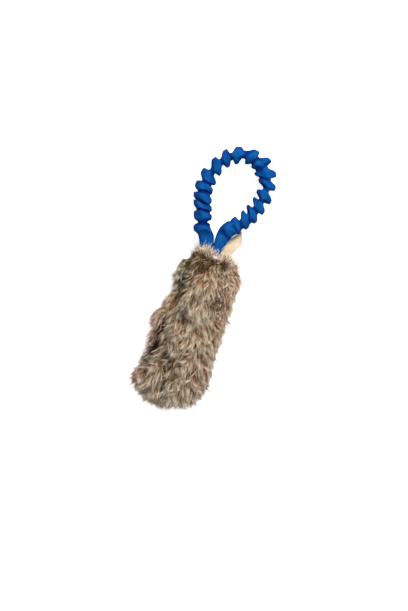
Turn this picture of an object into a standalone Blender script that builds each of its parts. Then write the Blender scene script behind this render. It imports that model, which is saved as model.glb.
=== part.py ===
"""Bungee tug toy: a fur-covered bite section with a stretching loop handle.

All lengths are in metres. The toy lies on the plane z = 0. +Y runs along the
fur-covered body towards the handle, +X is to the right as seen from above, and
the origin is on the floor under the middle of the body.
"""

import math

import bmesh
import bpy
from mathutils import Matrix, Vector

# Fit between neighbouring pieces
FIT_GAP = 0.0003
FLOOR_CUT = 0.0005              # how deep soft pieces are flattened by the floor

# Hair pile of the body, as one soft volume
BODY_LENGTH = 0.2025            # closed end to mouth
MOUTH_Y = 0.0970
CLOSED_HALF_WIDTH = 0.0475
NECK_HALF_WIDTH = 0.0420
CLOSED_HALF_HEIGHT = 0.0340
NECK_HALF_HEIGHT = 0.0300
COAT_END_ROUND = 0.0320         # length of the rounded closed end
SHOULDER_LENGTH = 0.0380        # the neck's curve, seen from above
SHOULDER_OVERRUN = 0.0130       # that curve would close this far past the mouth
NECK_DROP_LENGTH = 0.0600       # the neck's curve, seen from the side
NECK_DROP_OVERRUN = 0.0080
SECTION_POWER = 2.6             # 2 is an ellipse, more is boxier
HAIR_DEPTH = 0.0130
SEAM_GROOVE_DEPTH = 0.0085
SEAM_GROOVE_SPREAD = 16.0       # degrees
SEAM_GROOVE_ANGLE = 130.0       # degrees up from +X, the hair parts a little below the seam
SEAM_ANGLE = 120.0              # degrees up from +X, round the body

# Pelt, stuffing and the strap inside
HIDE_THICKNESS = 0.0015
HIDE_END_ROUND = 0.0240
HIDE_NECK_LENGTH = 0.0370
MOUTH_X = -0.0063
MOUTH_SIDE_ROOM = 0.0045
MOUTH_FLAT_ROOM = 0.0025
STRAP_WIDTH = 0.0240
STRAP_THICKNESS = 0.0020
STRAP_END_ROOM = 0.0100         # from the strap's end to the closed end of the pelt
STRAP_LEVEL = 0.0300            # the strap's height in the middle of the body
STRAP_RISE_LENGTH = 0.0700      # over which it comes down to the mouth
SEAM_THREAD_DIAMETER = 0.0009
SEAM_CHANNEL_ROOM = 0.0010      # over the thread, under the hair pile
SEAM_CHANNEL_SPREAD = 4.0       # degrees
SEAM_THREAD_START = 0.0220      # from the closed end of the pelt
ROOT_LENGTH = 0.0190            # sewn-in end of each tail

# Fold line of the handle, just outside the mouth
HINGE_OUT = 0.0045
HINGE_Z = 0.0240

# Flat sewn ends of the gathered sleeve
TAIL_THICKNESS = 0.0032
TAIL_GAP = 0.0005
LEFT_TAIL_WIDTH = 0.0160
RIGHT_TAIL_WIDTH = 0.0095
LEFT_TAIL_TOP_WIDTH = 0.0165
RIGHT_TAIL_TOP_WIDTH = 0.0140
TAIL_TOP_THICKNESS = 0.0120
LEFT_TAIL_TOP = (-0.0220, 0.0248)   # to the right of the middle, and beyond the fold line
RIGHT_TAIL_TOP = (0.0039, 0.0303)
LEFT_TAIL_LEAN = 24.0           # degrees to the left of +Y at the tail's top
RIGHT_TAIL_LEAN = -37.0
TAIL_PULL = 0.0100              # handle length of the tail's curve
TAIL_MOUTH_POWER = 4.0          # the flat end's section, as SECTION_POWER
TAIL_TOP_POWER = 2.2
TAIL_SWELL_START = 0.25         # share of the tail's length where it starts to thicken
TAIL_SWELL_LENGTH = 0.60        # and over which it does
TACK_LENGTH = 0.0020
TACK_PROUD = 0.0005
TACK_EDGE = 0.0020              # from the end of a tack to the edge of the cloth
NECK_TACK_IN = 0.0090           # from the mouth to the inner tacks
TAIL_TACK_OUT = 0.0115          # from the fold line to the outer tacks

# Loop of the handle
GRIP_CENTRE = (-0.0012, 0.0956)     # to the right of the middle, and beyond the fold line
GRIP_RADIUS = 0.0325
GRIP_LEFT_END = 155.0           # degrees on the grip's circle, up from +X
GRIP_RIGHT_END = -8.0
LEFT_LEG_TOP_PULL = 0.0340      # handle lengths of the legs' curves
LEFT_LEG_TAIL_PULL = 0.0280
RIGHT_LEG_TOP_PULL = 0.0260
RIGHT_LEG_TAIL_PULL = 0.0200
SPLIT_BACK = 0.0080             # grip and legs part this far behind the grip's centre
HANDLE_DROP_LENGTH = 0.0780     # over which the handle comes down to the floor

# Gathered sleeve and the bungee cord in it
CREST_RADIUS = 0.0125
VALLEY_RADIUS = 0.0062
GATHER_PITCH = 0.0131
CREST_SHARPNESS = 1.3
GATHER_SKEW = 0.5               # inner crests fall behind the outer ones, in pitches
SKEW_START = 0.0450             # along the sleeve, from the left tail
SKEW_END = 0.0950
GATHER_FADE = 0.0080            # plain stretch at each end of the sleeve
BUNGEE_DIAMETER = 0.0080
BUNGEE_END_DEPTH = 0.0050       # how far the cord reaches into each tail

# Folded cloth label
LABEL_WIDTH = 0.0170
LABEL_LENGTH = 0.0340
LABEL_LAYER = 0.0004
LABEL_FOLD_GAP = 0.0004
LABEL_ROOT = (0.0085, 0.0077)       # to the right of the middle, and beyond the fold line
LABEL_TURN = -39.0              # degrees to the left of +Y
LABEL_ROOT_DROP = 0.0050        # below the fold line
LABEL_STITCH_LENGTH = 0.0040
LABEL_STITCH_WIDTH = 0.0010
LABEL_STITCH_HEIGHT = 0.0008
LABEL_STITCH_LEFT = 0.0060      # from the label's centre line

# Facets
BODY_SIDES = 30
COAT_END_RINGS = 6
COAT_RINGS = 10
COAT_RING_BUNCHING = 1.3        # over 1 brings the rings closer towards the mouth
HIDE_END_RINGS = 5
HIDE_BODY_RINGS = 4
HIDE_SHOULDER_RINGS = 2
HIDE_MOUTH_RINGS = 3
STRAP_STEPS = 12
SLEEVE_SIDES = 16
CORD_SIDES = 8
THREAD_SIDES = 6
TAIL_STEPS = 9
SLEEVE_STEP = 0.0026
CORE_STEP = 0.0078
LEG_STEPS = 60
GRIP_STEPS = 80
ROUTE_STEP = 0.0005

# Worked out from the sizes above
CLOSED_Y = MOUTH_Y - BODY_LENGTH
HIDE_CLOSED_Y = CLOSED_Y + HAIR_DEPTH
HINGE_Y = MOUTH_Y + HINGE_OUT
ROOT_START_Y = MOUTH_Y - ROOT_LENGTH
TAIL_HALF = TAIL_THICKNESS / 2.0
STACK_WIDTH = LEFT_TAIL_WIDTH + TAIL_GAP + RIGHT_TAIL_WIDTH
LEFT_ROOT_X = MOUTH_X - STACK_WIDTH / 2.0 + LEFT_TAIL_WIDTH / 2.0
RIGHT_ROOT_X = MOUTH_X + STACK_WIDTH / 2.0 - RIGHT_TAIL_WIDTH / 2.0
STRAP_MOUTH_Z = HINGE_Z - TAIL_HALF - FIT_GAP - STRAP_THICKNESS / 2.0
STACK_TOP = HINGE_Z + TAIL_HALF + TACK_PROUD
STACK_BOTTOM = STRAP_MOUTH_Z - STRAP_THICKNESS / 2.0 - TACK_PROUD
MOUTH_Z = (STACK_TOP + STACK_BOTTOM) / 2.0
MOUTH_HALF_WIDTH = STACK_WIDTH / 2.0 + MOUTH_SIDE_ROOM + HIDE_THICKNESS
MOUTH_HALF_HEIGHT = (STACK_TOP - STACK_BOTTOM) / 2.0 + MOUTH_FLAT_ROOM + HIDE_THICKNESS
BORE_RADIUS = BUNGEE_DIAMETER / 2.0 + FIT_GAP
GRIP_Z = CREST_RADIUS - FLOOR_CUT
LABEL_THICKNESS = 2.0 * LABEL_LAYER + LABEL_FOLD_GAP
UP = Vector((0.0, 0.0, 1.0))
HINGE_POINT = Vector((MOUTH_X, HINGE_Y, HINGE_Z))
GRIP_MIDDLE = Vector((GRIP_CENTRE[0], HINGE_Y + GRIP_CENTRE[1], 0.0))
PULL_LINE = (GRIP_MIDDLE - Vector((MOUTH_X, HINGE_Y, 0.0))).normalized()


def mix(start, end, share):
    """A value part of the way from start to end."""
    return start + (end - start) * share


def beyond_fold(place):
    """The level point at a place measured from the fold line."""
    return Vector((place[0], HINGE_Y + place[1], 0.0))


def ease(value):
    """A smooth step from 0 to 1."""
    share = min(max(value, 0.0), 1.0)
    return share * share * (3.0 - 2.0 * share)


def heading(degrees_left):
    """A level unit vector, turned to the left of +Y."""
    angle = math.radians(degrees_left)
    return Vector((-math.sin(angle), math.cos(angle), 0.0))


def bezier(start, start_pull, end_pull, end, share):
    """A point on a cubic curve."""
    rest = 1.0 - share
    return (
        start * rest ** 3
        + start_pull * (3.0 * rest * rest * share)
        + end_pull * (3.0 * rest * share * share)
        + end * share ** 3
    )


def section(half_width, half_height, sides, power):
    """Offsets across and up of a rounded section, starting at its right side."""
    points = []
    for index in range(sides):
        angle = 2.0 * math.pi * index / sides
        across, up = math.cos(angle), math.sin(angle)
        points.append((
            half_width * math.copysign(abs(across) ** (2.0 / power), across),
            half_height * math.copysign(abs(up) ** (2.0 / power), up),
        ))
    return points


def skin(rings, first=None, last=None, closed=False):
    """A mesh over rings of equal size. An end is a point, or a flat face if None."""
    bm = bmesh.new()
    loops = [[bm.verts.new(point) for point in ring] for ring in rings]
    sides = len(loops[0])
    pairs = list(zip(loops, loops[1:]))
    if closed:
        pairs.append((loops[-1], loops[0]))
    for near, far in pairs:
        for index in range(sides):
            after = (index + 1) % sides
            bm.faces.new((near[index], near[after], far[after], far[index]))
    if not closed:
        for loop, tip in ((loops[0], first), (loops[-1], last)):
            if tip is None:
                bm.faces.new(loop)
            else:
                point = bm.verts.new(tip)
                for index in range(sides):
                    bm.faces.new((loop[index], loop[(index + 1) % sides], point))
    bmesh.ops.recalc_face_normals(bm, faces=bm.faces)
    return bm


def block(centre, across, along, up, width, length, height):
    """A box turned to three square directions."""
    rings = []
    for end in (-0.5, 0.5):
        corners = ((-0.5, -0.5), (0.5, -0.5), (0.5, 0.5), (-0.5, 0.5))
        rings.append([
            centre + across * (width * a) + up * (height * b) + along * (length * end)
            for a, b in corners
        ])
    return skin(rings)


def flatten_on_floor(bm):
    """Cuts off what is below the floor and closes the cut with flat faces."""
    everything = bm.verts[:] + bm.edges[:] + bm.faces[:]
    bmesh.ops.bisect_plane(
        bm, geom=everything, dist=0.00001, plane_co=(0, 0, 0), plane_no=(0, 0, 1), clear_inner=True
    )
    rim = [edge for edge in bm.edges if edge.is_boundary]
    bmesh.ops.holes_fill(bm, edges=rim, sides=0)
    bmesh.ops.recalc_face_normals(bm, faces=bm.faces)


def principled(name, color, roughness):
    """A plain material in linear colour."""
    material = bpy.data.materials.new(name)
    material.use_nodes = True
    shader = material.node_tree.nodes["Principled BSDF"]
    shader.inputs["Base Color"].default_value = (*color, 1.0)
    shader.inputs["Roughness"].default_value = roughness
    material.diffuse_color = (*color, 1.0)
    return material


def add_piece(name, bm, color, roughness, axis=None, smooth=True):
    """Turns a finished mesh into a named object, carried by the empty on its axis."""
    mesh = bpy.data.meshes.new(name)
    bm.to_mesh(mesh)
    bm.free()
    if smooth:
        mesh.shade_smooth()
        mesh.set_sharp_from_angle(angle=math.radians(40))
    mesh.materials.append(principled(name + "_material", color, roughness))
    piece = bpy.data.objects.new(name, mesh)
    bpy.context.scene.collection.objects.link(piece)
    if axis:
        carry(piece, axis)
    return piece


def carry(piece, axis):
    """Parents an object to an empty and leaves it where it is."""
    piece.parent = axis
    piece.matrix_parent_inverse = Matrix.Translation(axis.matrix_world.translation).inverted()


def add_axis(name, place, carrier=None):
    """An empty on a joint's axis."""
    empty = bpy.data.objects.new(name, None)
    empty.location = place
    empty.empty_display_size = 0.02
    bpy.context.scene.collection.objects.link(empty)
    empty.matrix_world = Matrix.Translation(place)
    if carrier:
        carry(empty, carrier)
    bpy.context.view_layer.update()
    return empty


def cut_away(piece, cutter_bm, name):
    """Subtracts a closed shape from a piece."""
    mesh = bpy.data.meshes.new(name)
    cutter_bm.to_mesh(mesh)
    cutter_bm.free()
    cutter = bpy.data.objects.new(name, mesh)
    cutter.hide_render = True
    cutter.display_type = "WIRE"
    bpy.context.scene.collection.objects.link(cutter)
    cut = piece.modifiers.new(name, "BOOLEAN")
    cut.operation = "DIFFERENCE"
    cut.solver = "EXACT"
    cut.object = cutter


# Body of the toy

def taper(y):
    """Half width and half height of the coat between its ends."""
    share = (y - CLOSED_Y) / BODY_LENGTH
    return (
        mix(CLOSED_HALF_WIDTH, NECK_HALF_WIDTH, share),
        mix(CLOSED_HALF_HEIGHT, NECK_HALF_HEIGHT, share),
    )


def round_off(y, length, overrun):
    """Factor by which an elliptic shoulder narrows the body at y."""
    start = MOUTH_Y + overrun - length
    return math.sqrt(1.0 - (max(y - start, 0.0) / length) ** 2)


def centre_height(y):
    """Height of the body's middle, which comes down to the fold line at the mouth."""
    start = MOUTH_Y + NECK_DROP_OVERRUN - NECK_DROP_LENGTH
    resting = taper(y)[1] - FLOOR_CUT
    return mix(resting, HINGE_Z, ease((y - start) / (MOUTH_Y - start)))


def body_ring(y, x, z, half_width, half_height, change=0.0, spread=1.0, angle=SEAM_ANGLE):
    """One ring round the body. change moves it in or out about an angle."""
    ring = []
    for index, (across, up) in enumerate(
        section(half_width, half_height, BODY_SIDES, SECTION_POWER)
    ):
        reach = math.hypot(across, up)
        off = (360.0 * index / BODY_SIDES - angle) / spread
        factor = 1.0 + change * math.exp(-off * off) / reach
        ring.append(Vector((x + across * factor, y, z + up * factor)))
    return ring


def coat_rings():
    """Outer surface of the hair pile, closed end first."""
    rings = []
    for step in range(1, COAT_END_RINGS + 1):
        angle = math.radians(90.0 * step / COAT_END_RINGS)
        y = CLOSED_Y + COAT_END_ROUND * (1.0 - math.cos(angle))
        half_width, half_height = taper(y)
        grow = math.sin(angle)
        rings.append(body_ring(
            y, 0.0, centre_height(y), half_width * grow, half_height * grow,
            -SEAM_GROOVE_DEPTH * grow * grow, SEAM_GROOVE_SPREAD, SEAM_GROOVE_ANGLE,
        ))
    start = CLOSED_Y + COAT_END_ROUND
    for step in range(1, COAT_RINGS + 1):
        y = mix(start, MOUTH_Y, 1.0 - (1.0 - step / COAT_RINGS) ** COAT_RING_BUNCHING)
        half_width, half_height = taper(y)
        half_width *= round_off(y, SHOULDER_LENGTH, SHOULDER_OVERRUN)
        half_height *= round_off(y, NECK_DROP_LENGTH, NECK_DROP_OVERRUN)
        fade = 1.0 - ease((y - ROOT_START_Y) / (MOUTH_Y - ROOT_START_Y))
        rings.append(body_ring(
            y, 0.0, centre_height(y), half_width, half_height,
            -SEAM_GROOVE_DEPTH * fade, SEAM_GROOVE_SPREAD, SEAM_GROOVE_ANGLE,
        ))
    return rings


def hide_station(y):
    """Centre, half width and half height of the pelt's outer face between its ends."""
    half_width, half_height = taper(y)
    start = MOUTH_Y - HIDE_NECK_LENGTH
    share = max(y - start, 0.0) / HIDE_NECK_LENGTH
    close = math.cos(share * math.pi / 2.0)
    return (
        mix(MOUTH_X, 0.0, ease(close)),
        mix(MOUTH_Z, centre_height(y), ease(close)),
        mix(MOUTH_HALF_WIDTH, half_width - HAIR_DEPTH, close),
        mix(MOUTH_HALF_HEIGHT, half_height - HAIR_DEPTH, close),
    )


def hide_stations():
    """Places along the body where the pelt's nested surfaces have their rings."""
    start = HIDE_CLOSED_Y + HIDE_END_ROUND
    neck = MOUTH_Y - HIDE_NECK_LENGTH
    places = []
    for near, far, rings in (
        (start, neck, HIDE_BODY_RINGS),
        (neck, ROOT_START_Y, HIDE_SHOULDER_RINGS),
        (ROOT_START_Y, MOUTH_Y, HIDE_MOUTH_RINGS),
    ):
        places += [mix(near, far, step / rings) for step in range(1, rings + 1)]
    return places


def hide_rings(offset, last_y=MOUTH_Y, seam_channel=0.0):
    """Rings at a distance outside the pelt's outer face, closed end first."""
    rings = []
    start = HIDE_CLOSED_Y + HIDE_END_ROUND
    for step in range(1, HIDE_END_RINGS + 1):
        angle = math.radians(90.0 * step / HIDE_END_RINGS)
        x, z, half_width, half_height = hide_station(start)
        steep = Vector((math.cos(angle) / HIDE_END_ROUND, math.sin(angle) / half_width))
        steep.normalize()
        y = start - HIDE_END_ROUND * math.cos(angle) - offset * steep.x
        rings.append(body_ring(
            y, x, z,
            half_width * math.sin(angle) + offset * steep.y,
            half_height * math.sin(angle) + offset * steep.y,
            seam_channel * math.sin(angle),
            SEAM_CHANNEL_SPREAD,
        ))
    for y in hide_stations():
        if y > last_y + FIT_GAP:
            break
        x, z, half_width, half_height = hide_station(y)
        rings.append(body_ring(
            y, x, z, half_width + offset, half_height + offset,
            seam_channel, SEAM_CHANNEL_SPREAD,
        ))
    return rings


def hide_tip(offset):
    """Middle of the closed end, at a distance outside the pelt's outer face."""
    height = hide_station(HIDE_CLOSED_Y + HIDE_END_ROUND)[1]
    return Vector((0.0, HIDE_CLOSED_Y - offset, height))


def strap_rings(margin, end_y):
    """Sections of the strap from its closed-end tip to end_y, thicker by a margin."""
    rings = []
    start_y = HIDE_CLOSED_Y + STRAP_END_ROOM - margin
    flat_y = ROOT_START_Y - STRAP_THICKNESS
    places = [mix(start_y, flat_y, step / STRAP_STEPS) for step in range(STRAP_STEPS + 1)]
    places.append(end_y)
    for y in places:
        rise = ease((flat_y - y) / STRAP_RISE_LENGTH)
        centre = Vector((mix(MOUTH_X, 0.0, rise), y, mix(STRAP_MOUTH_Z, STRAP_LEVEL, rise)))
        half_width = STRAP_WIDTH / 2.0 + margin
        half_height = STRAP_THICKNESS / 2.0 + margin
        rings.append([
            centre + Vector((a * half_width, 0.0, b * half_height))
            for a, b in ((-1, -1), (1, -1), (1, 1), (-1, 1))
        ])
    return rings


def neck_tack_block(root_x, tail_width, margin):
    """Thread block that holds one sewn-in tail end on the strap."""
    width = tail_width - 2.0 * TACK_EDGE + 2.0 * margin
    centre = Vector((root_x, MOUTH_Y - NECK_TACK_IN, (STACK_TOP + STACK_BOTTOM) / 2.0))
    height = STACK_TOP - STACK_BOTTOM + 2.0 * margin
    return block(
        centre, Vector((1, 0, 0)), Vector((0, 1, 0)), UP,
        width, TACK_LENGTH + 2.0 * margin, height,
    )


def add_body():
    """Hair pile, pelt, stuffing, strap and the threads that close the body."""
    outer = coat_rings()
    channel = SEAM_THREAD_DIAMETER + SEAM_CHANNEL_ROOM
    inner = hide_rings(FIT_GAP, seam_channel=channel)
    tip = Vector((0.0, CLOSED_Y, centre_height(CLOSED_Y)))
    coat = skin(outer + inner[::-1], first=tip, last=hide_tip(FIT_GAP))
    flatten_on_floor(coat)
    add_piece("fur_coat", coat, (0.30, 0.235, 0.175), 0.95)

    hide = skin(
        hide_rings(0.0) + hide_rings(-HIDE_THICKNESS)[::-1],
        first=hide_tip(0.0), last=hide_tip(-HIDE_THICKNESS),
    )
    add_piece("pelt_hide", hide, (0.80, 0.76, 0.68), 0.8)

    inset = -HIDE_THICKNESS - FIT_GAP
    filling = add_piece(
        "stuffing", skin(hide_rings(inset, ROOT_START_Y), first=hide_tip(inset)),
        (0.85, 0.85, 0.83), 0.95,
    )
    cut_away(filling, skin(strap_rings(FIT_GAP, MOUTH_Y)), "stuffing_slot")

    strap = add_piece(
        "core_strap", skin(strap_rings(0.0, MOUTH_Y)), (0.05, 0.05, 0.055), 0.7, smooth=False
    )
    for side, root_x, width in (
        ("left", LEFT_ROOT_X, LEFT_TAIL_WIDTH),
        ("right", RIGHT_ROOT_X, RIGHT_TAIL_WIDTH),
    ):
        start_y = ROOT_START_Y + FIT_GAP
        end_y = HINGE_Y - TAIL_HALF - FIT_GAP
        root = add_piece(
            side + "_tail_root",
            block(
                Vector((root_x, (start_y + end_y) / 2.0, HINGE_Z)),
                Vector((1, 0, 0)), Vector((0, 1, 0)), UP,
                width, end_y - start_y, TAIL_THICKNESS,
            ),
            (0.005, 0.11, 0.48), 0.75, smooth=False,
        )
        for piece in (root, strap):
            cutter = neck_tack_block(root_x, width, FIT_GAP)
            cut_away(piece, cutter, piece.name + "_" + side + "_tack_slot")
        add_piece(
            side + "_neck_tack", neck_tack_block(root_x, width, 0.0),
            (0.80, 0.80, 0.78), 0.7, smooth=False,
        )
    add_seam_threads()


def add_seam_threads():
    """Thread along the side seam, and the thread that binds the mouth's rim."""
    radius = SEAM_THREAD_DIAMETER / 2.0
    seam_index = round(SEAM_ANGLE / 360.0 * BODY_SIDES)
    first_y = HIDE_CLOSED_Y + SEAM_THREAD_START
    line = [
        ring[seam_index]
        for ring in hide_rings(FIT_GAP + radius)
        if first_y < ring[0].y < MOUTH_Y - FIT_GAP
    ]
    rings = []
    for index, point in enumerate(line):
        along = (line[min(index + 1, len(line) - 1)] - line[max(index - 1, 0)]).normalized()
        across = along.cross(UP).normalized()
        rings.append(round_ring(point, across, across.cross(along), radius, THREAD_SIDES))
    add_piece("side_seam_thread", skin(rings), (0.75, 0.73, 0.68), 0.7)

    x, z, half_width, half_height = hide_station(MOUTH_Y)
    centre = Vector((x, MOUTH_Y + FIT_GAP + radius, z))
    middle = HIDE_THICKNESS / 2.0
    rings = []
    for across, up in section(
        half_width - middle, half_height - middle, BODY_SIDES, SECTION_POWER
    ):
        out = Vector((across, 0.0, up)).normalized()
        place = centre + Vector((across, 0.0, up))
        rings.append(round_ring(place, out, Vector((0, 1, 0)), radius, THREAD_SIDES))
    add_piece("mouth_seam_thread", skin(rings, closed=True), (0.75, 0.73, 0.68), 0.7)


def round_ring(centre, across, up, radius, sides):
    """A round ring of points square to a path."""
    ring = []
    for index in range(sides):
        angle = 2.0 * math.pi * index / sides
        ring.append(centre + across * (radius * math.cos(angle)) + up * (radius * math.sin(angle)))
    return ring


# Loop handle

def handle_height(place):
    """Height of the handle's middle line over a place on the floor."""
    out = (Vector((place.x, place.y, 0.0)) - HINGE_POINT).dot(PULL_LINE)
    return mix(HINGE_Z, GRIP_Z, ease(out / HANDLE_DROP_LENGTH))


def raised(place):
    """The point of the handle's middle line over a level place."""
    return Vector((place.x, place.y, handle_height(place)))


def grip_point(degrees):
    """A level point on the grip's circle, and the way on along it, clockwise."""
    angle = math.radians(degrees)
    out = Vector((math.cos(angle), math.sin(angle), 0.0))
    return GRIP_MIDDLE + out * GRIP_RADIUS, out.cross(UP)


class Route:
    """The sleeve's middle line from the left tail, over the grip, to the right tail."""

    def __init__(self):
        left_end = beyond_fold(LEFT_TAIL_TOP)
        right_end = beyond_fold(RIGHT_TAIL_TOP)
        left_grip, left_way = grip_point(GRIP_LEFT_END)
        right_grip, right_way = grip_point(GRIP_RIGHT_END)
        level = []
        for step in range(LEG_STEPS):
            level.append(bezier(
                left_end, left_end + heading(LEFT_TAIL_LEAN) * LEFT_LEG_TAIL_PULL,
                left_grip - left_way * LEFT_LEG_TOP_PULL, left_grip, step / LEG_STEPS,
            ))
        for step in range(GRIP_STEPS):
            degrees = mix(GRIP_LEFT_END, GRIP_RIGHT_END, step / GRIP_STEPS)
            level.append(grip_point(degrees)[0])
        for step in range(LEG_STEPS + 1):
            level.append(bezier(
                right_grip, right_grip + right_way * RIGHT_LEG_TOP_PULL,
                right_end + heading(RIGHT_TAIL_LEAN) * RIGHT_LEG_TAIL_PULL, right_end,
                step / LEG_STEPS,
            ))
        self.points = [raised(place) for place in level]
        self.runs = [0.0]
        for near, far in zip(self.points, self.points[1:]):
            self.runs.append(self.runs[-1] + (far - near).length)
        self.length = self.runs[-1]

    def at(self, run):
        """Point at a distance along the route, straight on past either end."""
        if run <= 0.0:
            way = (self.points[1] - self.points[0]).normalized()
            return self.points[0] + way * run
        if run >= self.length:
            way = (self.points[-1] - self.points[-2]).normalized()
            return self.points[-1] + way * (run - self.length)
        index = 1
        while self.runs[index] < run:
            index += 1
        share = (run - self.runs[index - 1]) / (self.runs[index] - self.runs[index - 1])
        return self.points[index - 1].lerp(self.points[index], share)

    def frame(self, run):
        """Point, way on, outer side of the loop and upper side."""
        along = (self.at(run + ROUTE_STEP) - self.at(run - ROUTE_STEP)).normalized()
        out = UP.cross(along).normalized()
        return self.at(run), along, out, along.cross(out)

    def crossing(self, distance, from_left):
        """Where the route crosses a plane square to the line of pull."""
        steps = int(self.length / ROUTE_STEP)
        for step in range(steps):
            run = step * ROUTE_STEP if from_left else self.length - step * ROUTE_STEP
            if self.at(run).dot(PULL_LINE) > distance:
                return run
        return 0.0


def gather_radius(run, angle, length):
    """Radius of the gathered sleeve. angle 0 is the outer side of the loop."""
    skew = GATHER_SKEW * ease((run - SKEW_START) / (SKEW_END - SKEW_START))
    phase = run / GATHER_PITCH - skew * (1.0 - math.cos(angle)) / 2.0
    crest = (0.5 + 0.5 * math.cos(2.0 * math.pi * phase)) ** CREST_SHARPNESS
    gathered = mix(VALLEY_RADIUS, CREST_RADIUS, crest)
    return mix(VALLEY_RADIUS, gathered, ease(min(run, length - run) / GATHER_FADE))


def stations(start, end, step):
    """Distances from start to end, in even steps."""
    count = max(2, math.ceil((end - start) / step))
    return [mix(start, end, index / count) for index in range(count + 1)]


def route_rings(route, places, sides, radius_at, start_plane=None, end_plane=None):
    """Rings along the route. An end on a plane square to the pull lies flat in it."""
    rings = []
    last = len(places) - 1
    for index, run in enumerate(places):
        point, along, out, up = route.frame(run)
        ring = []
        for side in range(sides):
            angle = 2.0 * math.pi * side / sides
            radius = radius_at(run, angle)
            ring.append(point + (out * math.cos(angle) + up * math.sin(angle)) * radius)
        plane = start_plane if index == 0 else end_plane if index == last else None
        if plane is not None:
            slant = along.dot(PULL_LINE)
            ring = [spot + along * ((plane - spot.dot(PULL_LINE)) / slant) for spot in ring]
        rings.append(ring)
    return rings


def split_places(places, route, near_plane):
    """Leaves out rings that would reach through the flat end beside them."""
    kept = []
    for index, run in enumerate(places):
        point, along, _, _ = route.frame(run)
        room = CREST_RADIUS * math.sqrt(max(0.0, 1.0 - along.dot(PULL_LINE) ** 2))
        inner = index not in (0, len(places) - 1)
        if inner and abs(point.dot(PULL_LINE) - near_plane) < room:
            continue
        kept.append(run)
    return kept


def add_handle_run(route, name, start, end, start_plane, end_plane, split, axis):
    """One length of the gathered sleeve, with the bungee cord through it."""
    def gathered(run, angle):
        return gather_radius(run, angle, route.length)

    outer = route_rings(
        route, split_places(stations(start, end, SLEEVE_STEP), route, split),
        SLEEVE_SIDES, gathered, start_plane, end_plane,
    )
    core = split_places(stations(start, end, CORE_STEP), route, split)
    bore = route_rings(
        route, core, SLEEVE_SIDES, lambda run, angle: BORE_RADIUS, start_plane, end_plane
    )
    sleeve = skin(outer + bore[::-1], closed=True)
    flatten_on_floor(sleeve)
    add_piece("sleeve_" + name, sleeve, (0.005, 0.13, 0.54), 0.7, axis)

    if start_plane is None:
        core = [-BUNGEE_END_DEPTH] + core
    if end_plane is None:
        core = core + [route.length + BUNGEE_END_DEPTH]
    cord = route_rings(
        route, core, CORD_SIDES, lambda run, angle: BUNGEE_DIAMETER / 2.0,
        start_plane, end_plane,
    )
    add_piece("bungee_" + name, skin(cord), (0.80, 0.80, 0.78), 0.6, axis)


def tail_frame(root_x, top, lean, share):
    """Point and directions on a tail's middle line, from the fold line to its top."""
    root = Vector((root_x, HINGE_Y, 0.0))
    end = beyond_fold(top)

    def place(amount):
        return raised(bezier(
            root, root + Vector((0.0, TAIL_PULL, 0.0)),
            end - heading(lean) * TAIL_PULL, end, amount,
        ))

    near, far = max(share - 0.01, 0.0), min(share + 0.01, 1.0)
    along = (place(far) - place(near)).normalized()
    out = UP.cross(along).normalized()
    return place(share), along, out, along.cross(out)


def tail_size(share, mouth_width, top_width):
    """Width and thickness of a tail, which is flat at the mouth and round at its top."""
    swell = ease((share - TAIL_SWELL_START) / TAIL_SWELL_LENGTH)
    return mix(mouth_width, top_width, share), mix(TAIL_THICKNESS, TAIL_TOP_THICKNESS, swell)


def tail_ring(centre, out, up, width, thickness, power):
    """One section of a tail."""
    return [
        centre + out * across + up * rise
        for across, rise in section(width / 2.0, thickness / 2.0, SLEEVE_SIDES, power)
    ]


def add_tail(side, root_x, top, lean, mouth_width, top_width, axis):
    """A flat sewn end of the sleeve, its bar tack, and a bore for the cord's end."""
    rings = []
    root = Vector((root_x, HINGE_Y, HINGE_Z))
    left = Vector((-1.0, 0.0, 0.0))
    for degrees in (78.0, 52.0, 26.0):
        angle = math.radians(degrees)
        centre = root - Vector((0.0, TAIL_HALF * math.sin(angle), 0.0))
        thickness = TAIL_THICKNESS * math.cos(angle)
        rings.append(tail_ring(centre, left, UP, mouth_width, thickness, TAIL_MOUTH_POWER))
    for step in range(TAIL_STEPS + 1):
        share = step / TAIL_STEPS
        point, along, out, up = tail_frame(root_x, top, lean, share)
        width, thickness = tail_size(share, mouth_width, top_width)
        power = mix(TAIL_MOUTH_POWER, TAIL_TOP_POWER, share)
        rings.append(tail_ring(point, out, up, width, thickness, power))
    for depth in (0.0, BUNGEE_END_DEPTH + FIT_GAP):
        rings.append(round_ring(point - along * depth, out, up, BORE_RADIUS, SLEEVE_SIDES))
    blue = (0.005, 0.13, 0.54)
    tail = add_piece(side + "_tail", skin(rings), blue, 0.7, axis)

    reach = (beyond_fold(top) - Vector((root_x, HINGE_Y, 0.0))).length
    share = TAIL_TACK_OUT / reach
    point, along, out, up = tail_frame(root_x, top, lean, share)
    width, thickness = tail_size(share, mouth_width, top_width)

    def tack(margin):
        return block(
            point, out, along, up, width - 2.0 * TACK_EDGE + 2.0 * margin,
            TACK_LENGTH + 2.0 * margin, thickness + 2.0 * TACK_PROUD + 2.0 * margin,
        )

    cut_away(tail, tack(FIT_GAP), side + "_tail_tack_slot")
    add_piece(side + "_tail_tack", tack(0.0), (0.01, 0.09, 0.40), 0.7, axis, smooth=False)


def label_directions():
    """The label's fold line, the way it hangs and its upper side."""
    root_z = HINGE_Z - LABEL_ROOT_DROP
    fall = (root_z - LABEL_THICKNESS / 2.0 - FIT_GAP) / LABEL_LENGTH
    level = heading(LABEL_TURN)
    across = level.cross(UP).normalized()
    along = (level * math.sqrt(1.0 - fall * fall) - UP * fall).normalized()
    root = beyond_fold(LABEL_ROOT) + UP * root_z
    return root, across, along, across.cross(along)


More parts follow.
